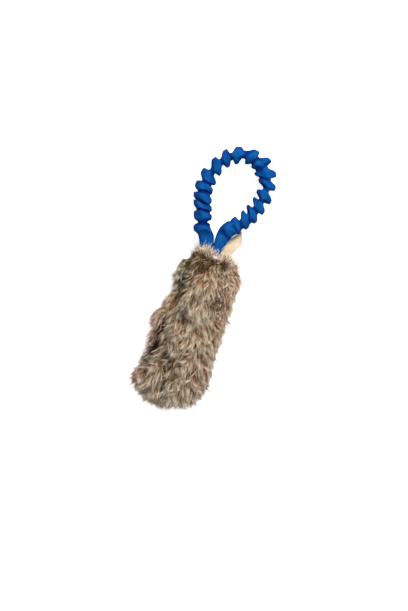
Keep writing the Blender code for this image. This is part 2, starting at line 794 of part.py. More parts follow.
def label_profile():
    """Outline of the folded tape from the side: along it, and up from its middle."""
    outer = LABEL_THICKNESS / 2.0
    inner = LABEL_FOLD_GAP / 2.0
    bend = LABEL_LENGTH - outer
    profile = [(0.0, -outer)]
    for step in range(7):
        angle = math.radians(-90.0 + 30.0 * step)
        profile.append((bend + outer * math.cos(angle), outer * math.sin(angle)))
    profile += [(0.0, outer), (0.0, inner)]
    for step in range(5):
        angle = math.radians(90.0 - 45.0 * step)
        profile.append((bend + inner * math.cos(angle), inner * math.sin(angle)))
    profile.append((0.0, -inner))
    return profile


def add_label(handle_axis):
    """Folded cloth label, hung under the right tail, and the stitch that holds it."""
    root, across, along, up = label_directions()
    axis = add_axis("label_flap_axis", root, handle_axis)
    rings = []
    for end in (-0.5, 0.5):
        rings.append([
            root + across * (LABEL_WIDTH * end) + along * run + up * rise
            for run, rise in label_profile()
        ])
    add_piece("label", skin(rings), (0.86, 0.78, 0.62), 0.85, axis, smooth=False)
    centre = (
        root - across * LABEL_STITCH_LEFT + along * (LABEL_STITCH_WIDTH / 2.0)
        + up * (LABEL_THICKNESS / 2.0 + FIT_GAP + LABEL_STITCH_HEIGHT / 2.0)
    )
    stitch = block(
        centre, across, along, up, LABEL_STITCH_LENGTH, LABEL_STITCH_WIDTH, LABEL_STITCH_HEIGHT
    )
    add_piece("label_stitch", stitch, (0.80, 0.78, 0.70), 0.7, handle_axis, smooth=False)


def add_handle():
    """Tails, gathered sleeve and bungee cord, hung on their joint axes."""
    fold_axis = add_axis("handle_fold_axis", HINGE_POINT)
    grip_centre = raised(GRIP_MIDDLE)
    stretch_axis = add_axis("bungee_stretch_axis", grip_centre, fold_axis)
    add_tail(
        "left", LEFT_ROOT_X, LEFT_TAIL_TOP, LEFT_TAIL_LEAN,
        LEFT_TAIL_WIDTH, LEFT_TAIL_TOP_WIDTH, fold_axis,
    )
    add_tail(
        "right", RIGHT_ROOT_X, RIGHT_TAIL_TOP, RIGHT_TAIL_LEAN,
        RIGHT_TAIL_WIDTH, RIGHT_TAIL_TOP_WIDTH, fold_axis,
    )
    route = Route()
    split = grip_centre.dot(PULL_LINE) - SPLIT_BACK
    near, far = split - FIT_GAP / 2.0, split + FIT_GAP / 2.0
    left, right = route.crossing(split, True), route.crossing(split, False)
    end = route.length - FIT_GAP
    add_handle_run(route, "left_leg", FIT_GAP, left, None, near, split, fold_axis)
    add_handle_run(route, "right_leg", right, end, near, None, split, fold_axis)
    add_handle_run(route, "grip", left, right, far, far, split, stretch_axis)
    add_label(fold_axis)


def build():
    """Makes the whole toy."""
    for found in list(bpy.data.objects):
        bpy.data.objects.remove(found, do_unlink=True)
    add_body()
    add_handle()


build()
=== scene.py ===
# Bungee tug toy: a stuffed rabbit-pelt bite section with a gathered nylon loop handle.
# The toy lies on its side on a white sweep and is seen straight from above.
import bpy
import math
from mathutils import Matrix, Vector, noise
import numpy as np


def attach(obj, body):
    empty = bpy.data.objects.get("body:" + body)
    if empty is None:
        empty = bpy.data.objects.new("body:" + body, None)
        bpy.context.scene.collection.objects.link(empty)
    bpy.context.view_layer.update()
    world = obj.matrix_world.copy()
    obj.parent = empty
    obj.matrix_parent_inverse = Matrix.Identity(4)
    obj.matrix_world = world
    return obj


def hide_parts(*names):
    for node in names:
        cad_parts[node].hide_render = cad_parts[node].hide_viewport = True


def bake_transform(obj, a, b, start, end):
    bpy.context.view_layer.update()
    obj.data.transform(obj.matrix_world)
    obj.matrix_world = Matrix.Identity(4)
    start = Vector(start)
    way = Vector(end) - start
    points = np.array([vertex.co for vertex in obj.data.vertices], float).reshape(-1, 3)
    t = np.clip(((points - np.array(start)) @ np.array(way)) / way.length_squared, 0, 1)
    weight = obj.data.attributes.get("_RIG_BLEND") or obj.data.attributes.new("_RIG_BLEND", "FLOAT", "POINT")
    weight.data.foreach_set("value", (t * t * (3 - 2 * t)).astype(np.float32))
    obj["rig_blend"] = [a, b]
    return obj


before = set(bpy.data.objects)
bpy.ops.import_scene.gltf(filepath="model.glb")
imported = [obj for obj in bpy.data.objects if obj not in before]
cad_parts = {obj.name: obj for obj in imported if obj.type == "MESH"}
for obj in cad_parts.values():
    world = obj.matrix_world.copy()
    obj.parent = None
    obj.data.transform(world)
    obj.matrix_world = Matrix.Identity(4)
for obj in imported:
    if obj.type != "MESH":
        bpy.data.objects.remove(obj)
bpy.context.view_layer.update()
noise.seed_set(4)               # noise_vector takes its offsets from this seed
mm = 0.001
fullTurn = 2.0 * math.pi
up = Vector((0.0, 0.0, 1.0))
toMouth = Vector((0.0, 1.0, 0.0))       # along the body, away from its closed end
print("frame loaded")


# Small helpers

def mix(start, end, share):
    return start + (end - start) * share


def ease(value):  # smooth step from 0 to 1
    share = min(max(value, 0.0), 1.0)
    return share * share * (3.0 - 2.0 * share)


def lookUp(table, place):  # value at a place in a list of (place, value), smoothly joined
    if place <= table[0][0]:
        return table[0][1]
    for (near, first), (far, second) in zip(table, table[1:]):
        if place <= far:
            return mix(first, second, ease((place - near) / (far - near)))
    return table[-1][1]


def between(values, place):  # smooth curve through evenly spaced values
    index = min(max(int(place), 0), len(values) - 2)
    share = place - index
    before = values[max(index - 1, 0)]
    first, second = values[index], values[index + 1]
    after = values[min(index + 2, len(values) - 1)]
    return (
        first
        + (second - before) * (0.5 * share)
        + (before * 2.0 - first * 5.0 + second * 4.0 - after) * (0.5 * share ** 2)
        + (first * 3.0 - before - second * 3.0 + after) * (0.5 * share ** 3)
    )


def offPath(x, y, path):  # the way from the nearest point of a path to a place
    here = Vector((x, y))
    best = None
    for start, end in zip(path, path[1:]):
        start, end = Vector(start), Vector(end)
        line = end - start
        share = min(max((here - start).dot(line) / line.length_squared, 0.0), 1.0)
        away = here - (start + line * share)
        if best is None or away.length < best.length:
            best = away
    return best


def spot(x, y, centre, radii):  # 1 in the middle of an oval patch, fading out round it
    return math.exp(-((x - centre[0]) / radii[0]) ** 2 - ((y - centre[1]) / radii[1]) ** 2)


def squarer(value, power):  # a sine or cosine, bent so that a round section turns squarer
    return math.copysign(abs(value) ** power, value)


def lumpsAt(point, lumps):  # noise of several sizes, each given per mm and in mm of height
    return sum(noise.noise(point * fine) * high for fine, high in lumps)


def linear(hexText):  # sRGB hex to the linear colour that the nodes take
    parts = [int(hexText[i:i + 2], 16) / 255.0 for i in (1, 3, 5)]
    return tuple(p / 12.92 if p <= 0.04045 else ((p + 0.055) / 1.055) ** 2.4 for p in parts) + (1.0,)


# One node with its settings, values and links. A node given as a value links its first output.
def addNode(tree, kind, inputs=(), **settings):
    node = tree.nodes.new(kind)
    for name, value in settings.items():
        setattr(node, name, value)
    for key, value in inputs.items() if isinstance(inputs, dict) else enumerate(inputs):
        if isinstance(value, bpy.types.Node):
            value = value.outputs[0]
        if isinstance(value, bpy.types.NodeSocket):
            tree.links.new(value, node.inputs[key])
        else:
            node.inputs[key].default_value = value
    return node


def newMaterial(name, **sockets):  # a Principled material with its plain sockets set
    material = bpy.data.materials.new(name)
    material.use_nodes = True
    shader = material.node_tree.nodes["Principled BSDF"]
    for key, value in sockets.items():
        shader.inputs[key.replace("_", " ")].default_value = value
    return material, material.node_tree


def addRamp(tree, value, stops):  # colour stops as (place, hex)
    ramp = addNode(tree, "ShaderNodeValToRGB", [value])
    elements = ramp.color_ramp.elements
    elements.remove(elements[-1])
    elements[0].position = stops[0][0]
    elements[0].color = linear(stops[0][1])
    for place, colour in stops[1:]:
        elements.new(place).color = linear(colour)
    return ramp


# The colours of a pattern, and its height as a bump this many mm deep.
def dress(tree, pattern, stops, height, depth, strength=1.0):
    shader = tree.nodes["Principled BSDF"]
    tree.links.new(addRamp(tree, pattern, stops).outputs[0], shader.inputs["Base Color"])
    bump = addNode(tree, "ShaderNodeBump", {
        "Height": height, "Distance": depth * mm, "Strength": strength
    })
    tree.links.new(bump.outputs[0], shader.inputs["Normal"])


def newPiece(name, vertices, faces, material, smooth=True):
    mesh = bpy.data.meshes.new(name)
    mesh.from_pydata([tuple(v) for v in vertices], [], faces)
    mesh.validate()
    mesh.materials.append(material)
    if smooth:
        mesh.shade_smooth()
    piece = bpy.data.objects.new(name, mesh)
    bpy.context.scene.collection.objects.link(piece)
    return piece


def tubeFaces(ringCount, sides):  # quads between rings of equal size, one after another
    faces = []
    for low in range(0, (ringCount - 1) * sides, sides):
        high = low + sides
        for side in range(sides):
            after = (side + 1) % sides
            faces.append((high + side, high + after, low + after, low + side))
    return faces


def capFaces(first, sides, middle, turn):  # triangles from a ring to the vertex in its middle
    ring = [(first + side, first + (side + 1) % sides, middle) for side in range(sides)]
    return [face[::turn] for face in ring]


def newTree(name, numbers, wholeNumbers=()):  # a node group and its named inputs
    tree = bpy.data.node_groups.new(name, "GeometryNodeTree")
    tree.interface.new_socket("Geometry", in_out="OUTPUT", socket_type="NodeSocketGeometry")
    kinds = {
        "Geometry": ["Geometry"], "Float": numbers, "Int": wholeNumbers, "Material": ["Material"],
    }
    for kind, names in kinds.items():
        for socket in names:
            tree.interface.new_socket(socket, in_out="INPUT", socket_type="NodeSocket" + kind)
    return tree, tree.nodes.new("NodeGroupInput").outputs


def closeTree(tree, geometry, given):
    painted = addNode(tree, "GeometryNodeSetMaterial", {
        "Geometry": geometry, "Material": given["Material"]
    })
    addNode(tree, "NodeGroupOutput", [painted])


def growPiece(name, base, tree, values):  # a node tree's result on a mesh, as a plain mesh
    piece = bpy.data.objects.new(name, base)
    bpy.context.scene.collection.objects.link(piece)
    modifier = piece.modifiers.new(tree.name, "NODES")
    modifier.node_group = tree
    for socket in tree.interface.items_tree:
        if socket.in_out == "INPUT" and socket.name in values:
            modifier[socket.identifier] = values[socket.name]
    grown = piece.evaluated_get(bpy.context.evaluated_depsgraph_get())
    made = bpy.data.meshes.new_from_object(grown)
    piece.modifiers.remove(modifier)
    piece.data = made
    piece.data.shade_smooth()
    return piece


# Camera, light and floor

view = {
    "aim": (9.5 * mm, 36.0 * mm),   # what the middle of the picture shows
    "roll": 20.0,                   # degrees that the toy's length leans in the picture
    "height": 763.75 * mm,          # what the picture's height covers
    "level": 25.0 * mm,             # the height above the floor at which it does
    "lens": 85.0,
    "sensor": 36.0,
}


def addCamera():
    lens = bpy.data.cameras.new("camera")
    lens.lens = view["lens"]
    lens.sensor_width = view["sensor"]
    distance = view["height"] / 2.0 * view["lens"] / (view["sensor"] / 2.0)
    camera = bpy.data.objects.new("camera", lens)
    camera.location = (*view["aim"], view["level"] + distance)
    camera.rotation_euler = (0.0, 0.0, math.radians(view["roll"]))
    bpy.context.scene.collection.objects.link(camera)
    bpy.context.scene.camera = camera


studio = {
    "sky": 0.20,                    # even light from all round
    "softBoxes": {                  # place and size in metres, and watts
        "keyLight": ((0.20, 1.15, 1.10), 0.8, 35.0),        # above, towards the loop
        "fillLight": ((0.5, -1.0, 1.3), 1.6, 8.0),
    },
    "floorWhite": "#F4F4F4",
    "floorLift": 0.80,              # seen by the camera only, so the sweep comes out white
    "floorHalf": 6.0,               # metres
    "floorDrop": 0.2 * mm,          # keeps the sweep clear of what rests on it
}


def addSoftBox(name, place, size, watts):
    lamp = bpy.data.lights.new(name, "AREA")
    lamp.energy = watts
    lamp.size = size
    box = bpy.data.objects.new(name, lamp)
    box.location = place
    box.rotation_euler = (-Vector(place)).to_track_quat("-Z", "Y").to_euler()
    bpy.context.scene.collection.objects.link(box)


def seenDirectly(tree):  # 1 for what the camera, a gloss or a clear part shows
    ray = addNode(tree, "ShaderNodeLightPath").outputs
    either = addNode(tree, "ShaderNodeMath", [
        ray["Is Camera Ray"], ray["Is Glossy Ray"]
    ], operation="MAXIMUM")
    return addNode(tree, "ShaderNodeMath", [
        either, ray["Is Transmission Ray"]
    ], operation="MAXIMUM")


def addStudio():
    world = bpy.data.worlds.new("studio")
    bpy.context.scene.world = world
    world.use_nodes = True
    tree = world.node_tree
    strength = addNode(tree, "ShaderNodeMix", {
        "Factor": seenDirectly(tree), "A": studio["sky"], "B": 1.0
    }, data_type="FLOAT")
    sky = tree.nodes["Background"]
    sky.inputs["Color"].default_value = (1.0, 1.0, 1.0, 1.0)
    tree.links.new(strength.outputs["Result"], sky.inputs["Strength"])
    for name, settings in studio["softBoxes"].items():
        addSoftBox(name, *settings)

    material, tree = newMaterial("paperSweep")
    tree.nodes.remove(tree.nodes["Principled BSDF"])
    paper = addNode(tree, "ShaderNodeBsdfDiffuse", {"Color": linear(studio["floorWhite"])})
    lift = addNode(tree, "ShaderNodeMath", [
        seenDirectly(tree), studio["floorLift"]
    ], operation="MULTIPLY")
    glow = addNode(tree, "ShaderNodeEmission", {"Strength": lift})
    both = addNode(tree, "ShaderNodeAddShader", [paper, glow])
    tree.links.new(both.outputs[0], tree.nodes["Material Output"].inputs["Surface"])
    half, low = studio["floorHalf"], -studio["floorDrop"]
    corners = [(-half, -half, low), (half, -half, low), (half, half, low), (-half, half, low)]
    floor = newPiece("floor", corners, [(0, 1, 2, 3)], material, smooth=False)
    bpy.context.scene.view_settings.view_transform = "Standard"


addCamera()
addStudio()
print("camera, light and floor")


# Finishes

def waveScale(gap):  # of a wave texture whose bands lie this far apart
    return 1.0 / gap / 3.1831


# Scales of the fine patterns: the tape's per mm of its own map, the others per metre.
fineScale = {"tapeWeave": 0.4, "plies": 450.0, "fibres": 900.0, "tufts": 260.0, "pores": 420.0}


# Nylon and elastane jersey, knitted, dyed royal blue: it keeps a soft sheen on its folds.
jersey = {
    "stops": [(0.05, "#00124A"), (0.5, "#003276"), (1.0, "#10609C")],   # painted shade in a crease to painted light on a crest
    "sheen": "#3C8CE8",
    "fading": (0.12, 0.5),          # clouds in the dye: per mm, and how far they shift the tone
    "courseGap": 1.1,               # mm between courses, drawn coarser than the real 0.4 to show
    "courseDepth": 0.05,            # mm
    "creases": (0.45, 9.0),         # per mm, and how much higher than the courses
}


def jerseyMaterial():
    material, tree = newMaterial(
        "knittedNylonJersey", Roughness=0.7, Sheen_Weight=0.08, Sheen_Roughness=0.45,
        Sheen_Tint=linear(jersey["sheen"]), Specular_IOR_Level=0.04,
    )
    cloth = addNode(tree, "ShaderNodeUVMap", uv_map="cloth")
    # Painted shading from the folds: painted light on the crests, painted shade in the creases, pressed
    # folds and on the sides.
    paintedShading = addNode(tree, "ShaderNodeAttribute", attribute_name="paintedShading")
    cloudScale, fading = jersey["fading"]
    cloud = addNode(tree, "ShaderNodeTexNoise", {
        "Vector": cloth, "Scale": cloudScale, "Detail": 3.0
    })
    shift = addNode(tree, "ShaderNodeMath", [cloud, fading, -fading / 2.0], operation="MULTIPLY_ADD")
    # The painted shading, plus the clouds in the dye.
    tone = addNode(tree, "ShaderNodeMath", [paintedShading.outputs["Fac"], shift], operation="ADD")
    courses = addNode(tree, "ShaderNodeTexWave", {
        "Vector": cloth, "Scale": waveScale(jersey["courseGap"]), "Distortion": 0.6, "Detail": 1.0,
    }, bands_direction="X")
    creaseScale, creaseHeight = jersey["creases"]
    creases = addNode(tree, "ShaderNodeTexNoise", {
        "Vector": cloth, "Scale": creaseScale, "Detail": 4.0, "Roughness": 0.6
    })
    height = addNode(tree, "ShaderNodeMath", [
        creases, creaseHeight, courses.outputs["Fac"]
    ], operation="MULTIPLY_ADD")
    dress(tree, tone, jersey["stops"], height, jersey["courseDepth"], 0.9)
    return material


# Rabbit hair, undyed: grey-brown at the root, banded paler towards the tip.
# The colour map's u picks the hair's colour family and tone, and v runs from root to tip.
# Each family has its darkest and lightest hair at the root, and the same at the tip.
hairColours = {
    "agouti": (("#1C0C01", "#B08052"), ("#7A4719", "#FFF0D8")),
    "rosy": (("#241009", "#AE7E66"), ("#7A4C38", "#FFE4D0")),
    "greyGreen": (("#1E1A0E", "#988A62"), ("#665C3C", "#FFF8E0")),
    "brown": (("#0E0603", "#543A22"), ("#38240F", "#AC8A60")),
}
rootToTip = [(0.22, "#000000"), (0.70, "#F4F4F4"), (0.9, "#FFFFFF"), (1.0, "#D0D0D0")]


def hairMaterial():
    material, tree = newMaterial(
        "rabbitHair", Roughness=0.7, Specular_IOR_Level=0.12, Sheen_Weight=0.04,
        Sheen_Roughness=0.5,
    )
    strand = addNode(tree, "ShaderNodeUVMap", uv_map="strand")
    part = addNode(tree, "ShaderNodeSeparateXYZ", [strand]).outputs
    share = 1.0 / len(hairColours)
    seam = 0.003                    # keeps one family's colours out of the next one's
    ends = []
    for end in (0, 1):
        stops = []
        for index, family in enumerate(hairColours.values()):
            dark, light = family[end]
            stops += [(index * share + seam, dark), ((index + 1) * share - seam, light)]
        ends.append(addRamp(tree, part["X"], stops).outputs["Color"])
    colour = addNode(tree, "ShaderNodeMix", {
        "Factor": addRamp(tree, part["Y"], rootToTip), 6: ends[0], 7: ends[1]
    }, data_type="RGBA")
    tree.links.new(colour.outputs[2], tree.nodes["Principled BSDF"].inputs["Base Color"])
    return material


def napMaterial(name, nap, stops, depth, **sockets):  # short fibres seen end on, in soft patches
    material, tree = newMaterial(name, **sockets)
    where = addNode(tree, "ShaderNodeTexCoord").outputs["Object"]
    patches = addNode(tree, "ShaderNodeTexNoise", {"Vector": where, **nap})
    dress(tree, patches, stops, patches, depth)
    return material


# Woven polyester tape, cream: plain weave that shows as a fine grid.
def tapeMaterial():
    material, tree = newMaterial(
        "wovenCreamTape", Roughness=0.8, Specular_IOR_Level=0.2, Sheen_Weight=0.15
    )
    tape = addNode(tree, "ShaderNodeUVMap", uv_map="tape")
    warp, weft = [
        addNode(tree, "ShaderNodeTexWave", {
            "Vector": tape, "Scale": fineScale["tapeWeave"], "Distortion": 0.3
        }, bands_direction=way).outputs["Fac"]
        for way in ("X", "Y")
    ]
    weave = addNode(tree, "ShaderNodeMath", [warp, weft], operation="MAXIMUM")
    stain = addNode(tree, "ShaderNodeTexNoise", {"Vector": tape, "Scale": 0.13, "Detail": 3.0})
    dress(tree, stain, [(0.35, "#C6AF8E"), (0.65, "#D6C4A8")], weave, 0.12, 0.8)
    return material


# Spun polyester sewing thread: two plies twisted, so the light breaks into short slants.
def threadMaterial(name, dark, light):
    material, tree = newMaterial(name, Roughness=0.55, Specular_IOR_Level=0.35)
    where = addNode(tree, "ShaderNodeTexCoord").outputs["Object"]
    slant = addNode(tree, "ShaderNodeMapping", {"Vector": where, "Rotation": (0.0, 0.6, 0.8)})
    plies = addNode(tree, "ShaderNodeTexWave", {"Vector": slant, "Scale": fineScale["plies"]})
    plies = plies.outputs["Fac"]
    dress(tree, plies, [(0.1, dark), (0.8, light)], plies, 0.1)
    return material


# Polyester webbing, loose fibre and braided cord share one woven look in their own colours.
def wovenMaterial(name, dark, light, threadGap, roughness):
    material, tree = newMaterial(name, Roughness=roughness, Specular_IOR_Level=0.25)
    where = addNode(tree, "ShaderNodeTexCoord").outputs["Object"]
    across = addNode(tree, "ShaderNodeTexWave", {
        "Vector": where, "Scale": waveScale(threadGap * mm)
    }, bands_direction="DIAGONAL")
    fibres = addNode(tree, "ShaderNodeTexNoise", {
        "Vector": where, "Scale": fineScale["fibres"], "Detail": 2.0
    })
    height = addNode(tree, "ShaderNodeMath", [across.outputs["Fac"], fibres], operation="MULTIPLY")
    dress(tree, height, [(0.1, dark), (0.6, light)], height, 0.3)
    return material


jerseyCloth = jerseyMaterial()
hair = hairMaterial()
# Underfur: the dense down below the long hair, seen only in the gaps, in tufts of about 4 mm. Its dark brown
# is partly its own colour and partly painted shade in those gaps.
down = napMaterial(
    "rabbitDown", {"Scale": fineScale["tufts"], "Detail": 5.0, "Roughness": 0.7},
    [(0.3, "#22140A"), (0.7, "#60462E")], 1.5, Roughness=0.95, Specular_IOR_Level=0.1,
)
# Flesh side of the tanned pelt: suede-like, off-white, with fine pores.
leather = napMaterial(
    "tannedPeltLeather", {"Scale": fineScale["pores"], "Detail": 4.0},
    [(0.3, "#C9C2CB"), (0.7, "#F1EDEC")], 0.3, Roughness=0.82, Specular_IOR_Level=0.25,
)
tape = tapeMaterial()
paleThread = threadMaterial("undyedSewingThread", "#B9B5AA", "#ECE9E0")
blueThread = threadMaterial("blueSewingThread", "#052E78", "#1158B0")
webbing = wovenMaterial("blackWebbing", "#0B0B0D", "#2C2C30", 1.5, 0.7)
fibre = wovenMaterial("looseFibreFill", "#CFCFCB", "#F2F2EE", 4.0, 0.95)
braid = wovenMaterial("braidedCordCover", "#B8B8B2", "#F0F0EA", 1.2, 0.6)
print("finishes")


# Loop handle

# Stations along the handle, from the left sewn end round the loop to the right one, in mm:
# (outer edge), (inner edge), middle height, half height, squareness of the section,
# and how far the next crease draws in the outer edge, the inner edge and the top.
stations = [
    ((-19.0, 94.0), (-4.2, 94.0), 22.8, 1.5, 4.0, 0.0, 0.0, 0.0),
    ((-19.6, 101.0), (-3.4, 102.0), 22.6, 1.6, 4.0, 0.0, 0.0, 0.0),
    ((-24.4, 110.6), (-5.6, 113.0), 21.6, 2.0, 3.4, 0.0, 0.0, 0.0),
    ((-28.6, 117.6), (-9.8, 123.5), 20.4, 3.6, 2.6, 0.0, 0.0, 0.0),
    ((-35.9, 121.8), (-17.4, 132.2), 19.0, 7.5, 2.1, 6.2, 4.6, 1.0),
    ((-41.4, 137.7), (-18.9, 143.0), 16.6, 10.4, 2.0, 3.4, 2.6, 3.0),
    ((-47.0, 153.0), (-22.8, 153.8), 14.6, 10.8, 2.0, 2.6, 2.2, 3.0),
    ((-50.4, 162.1), (-26.1, 162.8), 13.4, 10.9, 2.0, 5.2, 2.8, 3.0),
    ((-53.0, 175.7), (-29.0, 174.9), 12.4, 10.8, 2.0, 6.2, 4.4, 3.0),
    ((-51.8, 194.5), (-28.7, 185.2), 11.8, 8.8, 2.0, 7.6, 7.5, 1.0),
    ((-43.8, 213.9), (-27.2, 197.8), 11.4, 8.4, 2.0, 6.8, 6.8, 1.0),
    ((-34.1, 228.7), (-20.6, 210.4), 11.2, 8.2, 2.0, 6.8, 6.2, 1.0),
    ((-19.0, 238.6), (-12.6, 217.2), 11.2, 8.4, 2.0, 3.8, 7.2, 1.0),
    ((4.2, 242.5), (-1.0, 221.4), 11.2, 8.2, 2.0, 7.2, 2.8, 1.0),
    ((24.1, 238.2), (6.7, 219.3), 11.4, 8.6, 2.0, 7.6, 3.0, 1.0),
    ((38.1, 223.3), (13.2, 212.6), 11.6, 8.8, 2.0, 7.6, 3.0, 1.0),
    ((44.0, 206.3), (20.3, 207.3), 11.6, 8.8, 2.0, 7.6, 7.2, 1.0),
    ((44.6, 187.7), (22.2, 193.8), 11.6, 8.6, 2.0, 7.6, 7.5, 1.0),
    ((40.9, 171.6), (21.1, 184.4), 12.0, 8.6, 2.0, 6.0, 7.6, 1.0),
    ((35.6, 157.5), (16.8, 172.7), 12.8, 8.6, 2.0, 3.5, 7.6, 1.0),
    ((28.1, 145.6), (13.7, 164.4), 14.4, 8.4, 2.0, 3.2, 7.6, 1.0),
    ((21.0, 136.4), (6.4, 152.5), 16.8, 9.8, 2.0, 1.6, 5.0, -0.6),
    ((14.8, 131.6), (-3.6, 139.2), 20.0, 7.6, 2.2, 0.0, 0.0, 0.0),
    ((11.6, 124.0), (-6.2, 125.6), 22.6, 4.2, 2.6, 0.0, 0.0, 0.0),
    ((8.6, 114.4), (-5.6, 111.6), 24.2, 2.0, 3.4, 0.0, 0.0, 0.0),
    ((6.8, 102.6), (-3.2, 100.0), 26.6, 1.5, 4.0, 0.0, 0.0, 0.0),
    ((6.6, 97.0), (-2.6, 95.0), 26.0, 1.4, 4.0, 0.0, 0.0, 0.0),
]
sleeveShape = {
    "sides": 72,
    "ringsEach": 13,                # rings from one station to the next
    "gathers": (4.0, 21.6, 0.6),    # first and last gathered station, and how fast gathers fade
    "roundness": 1.9,               # over 0 makes crests and creases blunter than a plain wave
    "crestShare": [(8, 0.75), (9.5, 0.25)],     # over 0 widens the crests and narrows the creases
    "topShare": 0.9,                # the same for the creases where they cross the top
    "slant": (0.28, 1.9),           # gathers that a crease slants over the top, and its turning
    "lean": (1.2, 0.3),             # mm that outer crests point ahead, and inner ones back
    "waver": 1.6,                   # mm that a crest's line strays along the tube on top
    "turn": 2.4,                    # radians that swells and strays turn at each station
    "swells": (0.08, 0.05),         # shares of the section's size, three and five round the tube
    "lumps": ((0.050, 1.2), (0.13, 0.8), (0.32, 0.35)),    # noise: per mm, and mm high
    "calm": 0.45,                   # share of the lumps on the flat ends and the sides
    "pressed": (6.0, 20.0),         # the pressed folds lie outside these stations
    "floor": 0.25,                  # mm
    "girth": 70.0,                  # mm round the cloth tube
    "drawnUp": 1.4,                 # mm of cloth in each mm of the gathered tube
    "moving": (1.35, 24.6),         # stations between which the sleeve moves with the loop
    "sewnEnds": {"leftSewnEnd": (0.0, 1.4), "rightSewnEnd": (24.55, 26.0)},
}
# Painted shading of the dye: how light a crest is painted, and the painted shade that creases, pressed folds
# and the sides take off.
paintedFoldShading = {
    "crest": 0.74, "sideCrease": 0.34, "topCrease": 0.30, "eachMm": 0.12, "pressed": 0.14,
    "side": 0.22,
}
# Folds pressed into the cloth from above: both ends in the plan, width, and how far down, in mm.
pressedFolds = [
    ((-34.0, 129.5), (-17.0, 134.0), 2.4, 3.2),       # below the lowest ring of the left leg
    ((-33.0, 119.0), (-20.0, 127.0), 2.6, -1.4),      # ridge from there to the corner of the tail
    ((-26.0, 113.0), (-14.0, 124.0), 3.0, 0.9),
    ((-2.0, 130.5), (9.0, 125.0), 2.2, 2.0),          # under the bulge of the right tail
    ((3.0, 137.0), (17.0, 133.0), 4.0, -1.6),
    ((10.0, 141.0), (20.0, 134.0), 1.8, 1.8),
]


outerEdge = [Vector((*row[0], 0.0)) for row in stations]
innerEdge = [Vector((*row[1], 0.0)) for row in stations]
middleHeight, halfHeight, squareness = ([row[column] for row in stations] for column in (2, 3, 4))


def handleMiddle(place):
    point = (between(outerEdge, place) + between(innerEdge, place)) / 2.0
    point.z = between(middleHeight, place)
    return point


def alongHandle(place, step):  # the way that the handle runs, judged a step to both sides
    after = handleMiddle(min(place + step, len(stations) - 1.0))
    return (after - handleMiddle(max(place - step, 0.0))).normalized()


def creaseDepth(share, wide):  # 0 on a crest and 1 in the crease half way to the next
    blunt = sleeveShape["roundness"]
    high, low = math.tanh(blunt * (1.0 + wide)), math.tanh(blunt * (wide - 1.0))
    return (high - math.tanh(blunt * (math.cos(fullTurn * share) + wide))) / (high - low)


def pressDown(point):  # how far the pressed folds push a place on top of the cloth down
    total = 0.0
    for start, end, width, depth in pressedFolds:
        away = offPath(point.x, point.y, (start, end)).length
        total += depth * math.exp(-(away / width) ** 2)
    return total


# A point on the sleeve in mm, and the painted shading of its dye there, from 0 in a crease to 1.
def sleeveSurface(place, angle):
    shape = sleeveShape
    index = min(int(place), len(stations) - 2)
    share = place - index
    along = alongHandle(place, 0.12)
    across = (between(outerEdge, place) - between(innerEdge, place)) / 2.0
    half = across.length
    across.normalize()
    power = 2.0 / between(squareness, place)
    side, rise = squarer(math.cos(angle), power), squarer(math.sin(angle), power)
    top, outward = math.sin(angle) ** 2, (1.0 + math.cos(angle)) / 2.0
    outerDip, innerDip, topDip = stations[index][5:8]

    first, last, fade = shape["gathers"]
    gathered = ease((place - first) / fade) * ease((last - place) / fade)
    wide = lookUp(shape["crestShare"], place)
    sideCrease = creaseDepth(share, wide) * gathered
    slant, turning = shape["slant"]
    lane = share + slant * math.cos(angle) * math.sin(turning * index)
    topCrease = creaseDepth(lane, max(wide, shape["topShare"])) * gathered

    turn = shape["turn"] * place
    three, five = shape["swells"]
    swell = three * math.sin(3.0 * angle + turn * 1.7) + five * math.cos(5.0 * angle + turn)
    swell = 1.0 + top * swell
    x = side * (half - mix(innerDip, outerDip, outward) * sideCrease) * swell
    z = rise * (between(halfHeight, place) - topDip * topCrease) * swell
    point = handleMiddle(place) + across * x + up * z
    normal = (across * x + up * z).normalized()
    rough = mix(shape["calm"], mix(shape["calm"], 1.0, top), gathered)
    point += normal * lumpsAt(point, shape["lumps"]) * rough
    ahead, back = shape["lean"]
    shift = shape["waver"] * top * math.sin(turn + 2.0 * math.copysign(1.0, rise))
    shift += math.cos(angle) * mix(back, ahead, outward) * (1.0 - sideCrease)
    point += along * shift * gathered

    first, last = shape["pressed"]
    pressed = pressDown(point) if rise > 0.0 and (place < first or place > last) else 0.0
    point.z = max(point.z - pressed * ease(rise * 1.6), shape["floor"])
    # Painted light on the crests, and painted shade in the creases, in pressed folds and on the sides.
    tone = paintedFoldShading
    depth = tone["topCrease"] + tone["eachMm"] * max(topDip, 0.0)
    paintedShading = tone["crest"] - tone["sideCrease"] * sideCrease * (1.0 - top) - depth * topCrease * top
    paintedShading -= tone["pressed"] * max(pressed, 0.0) + tone["side"] * (1.0 - top)
    return point, max(paintedShading, 0.0)


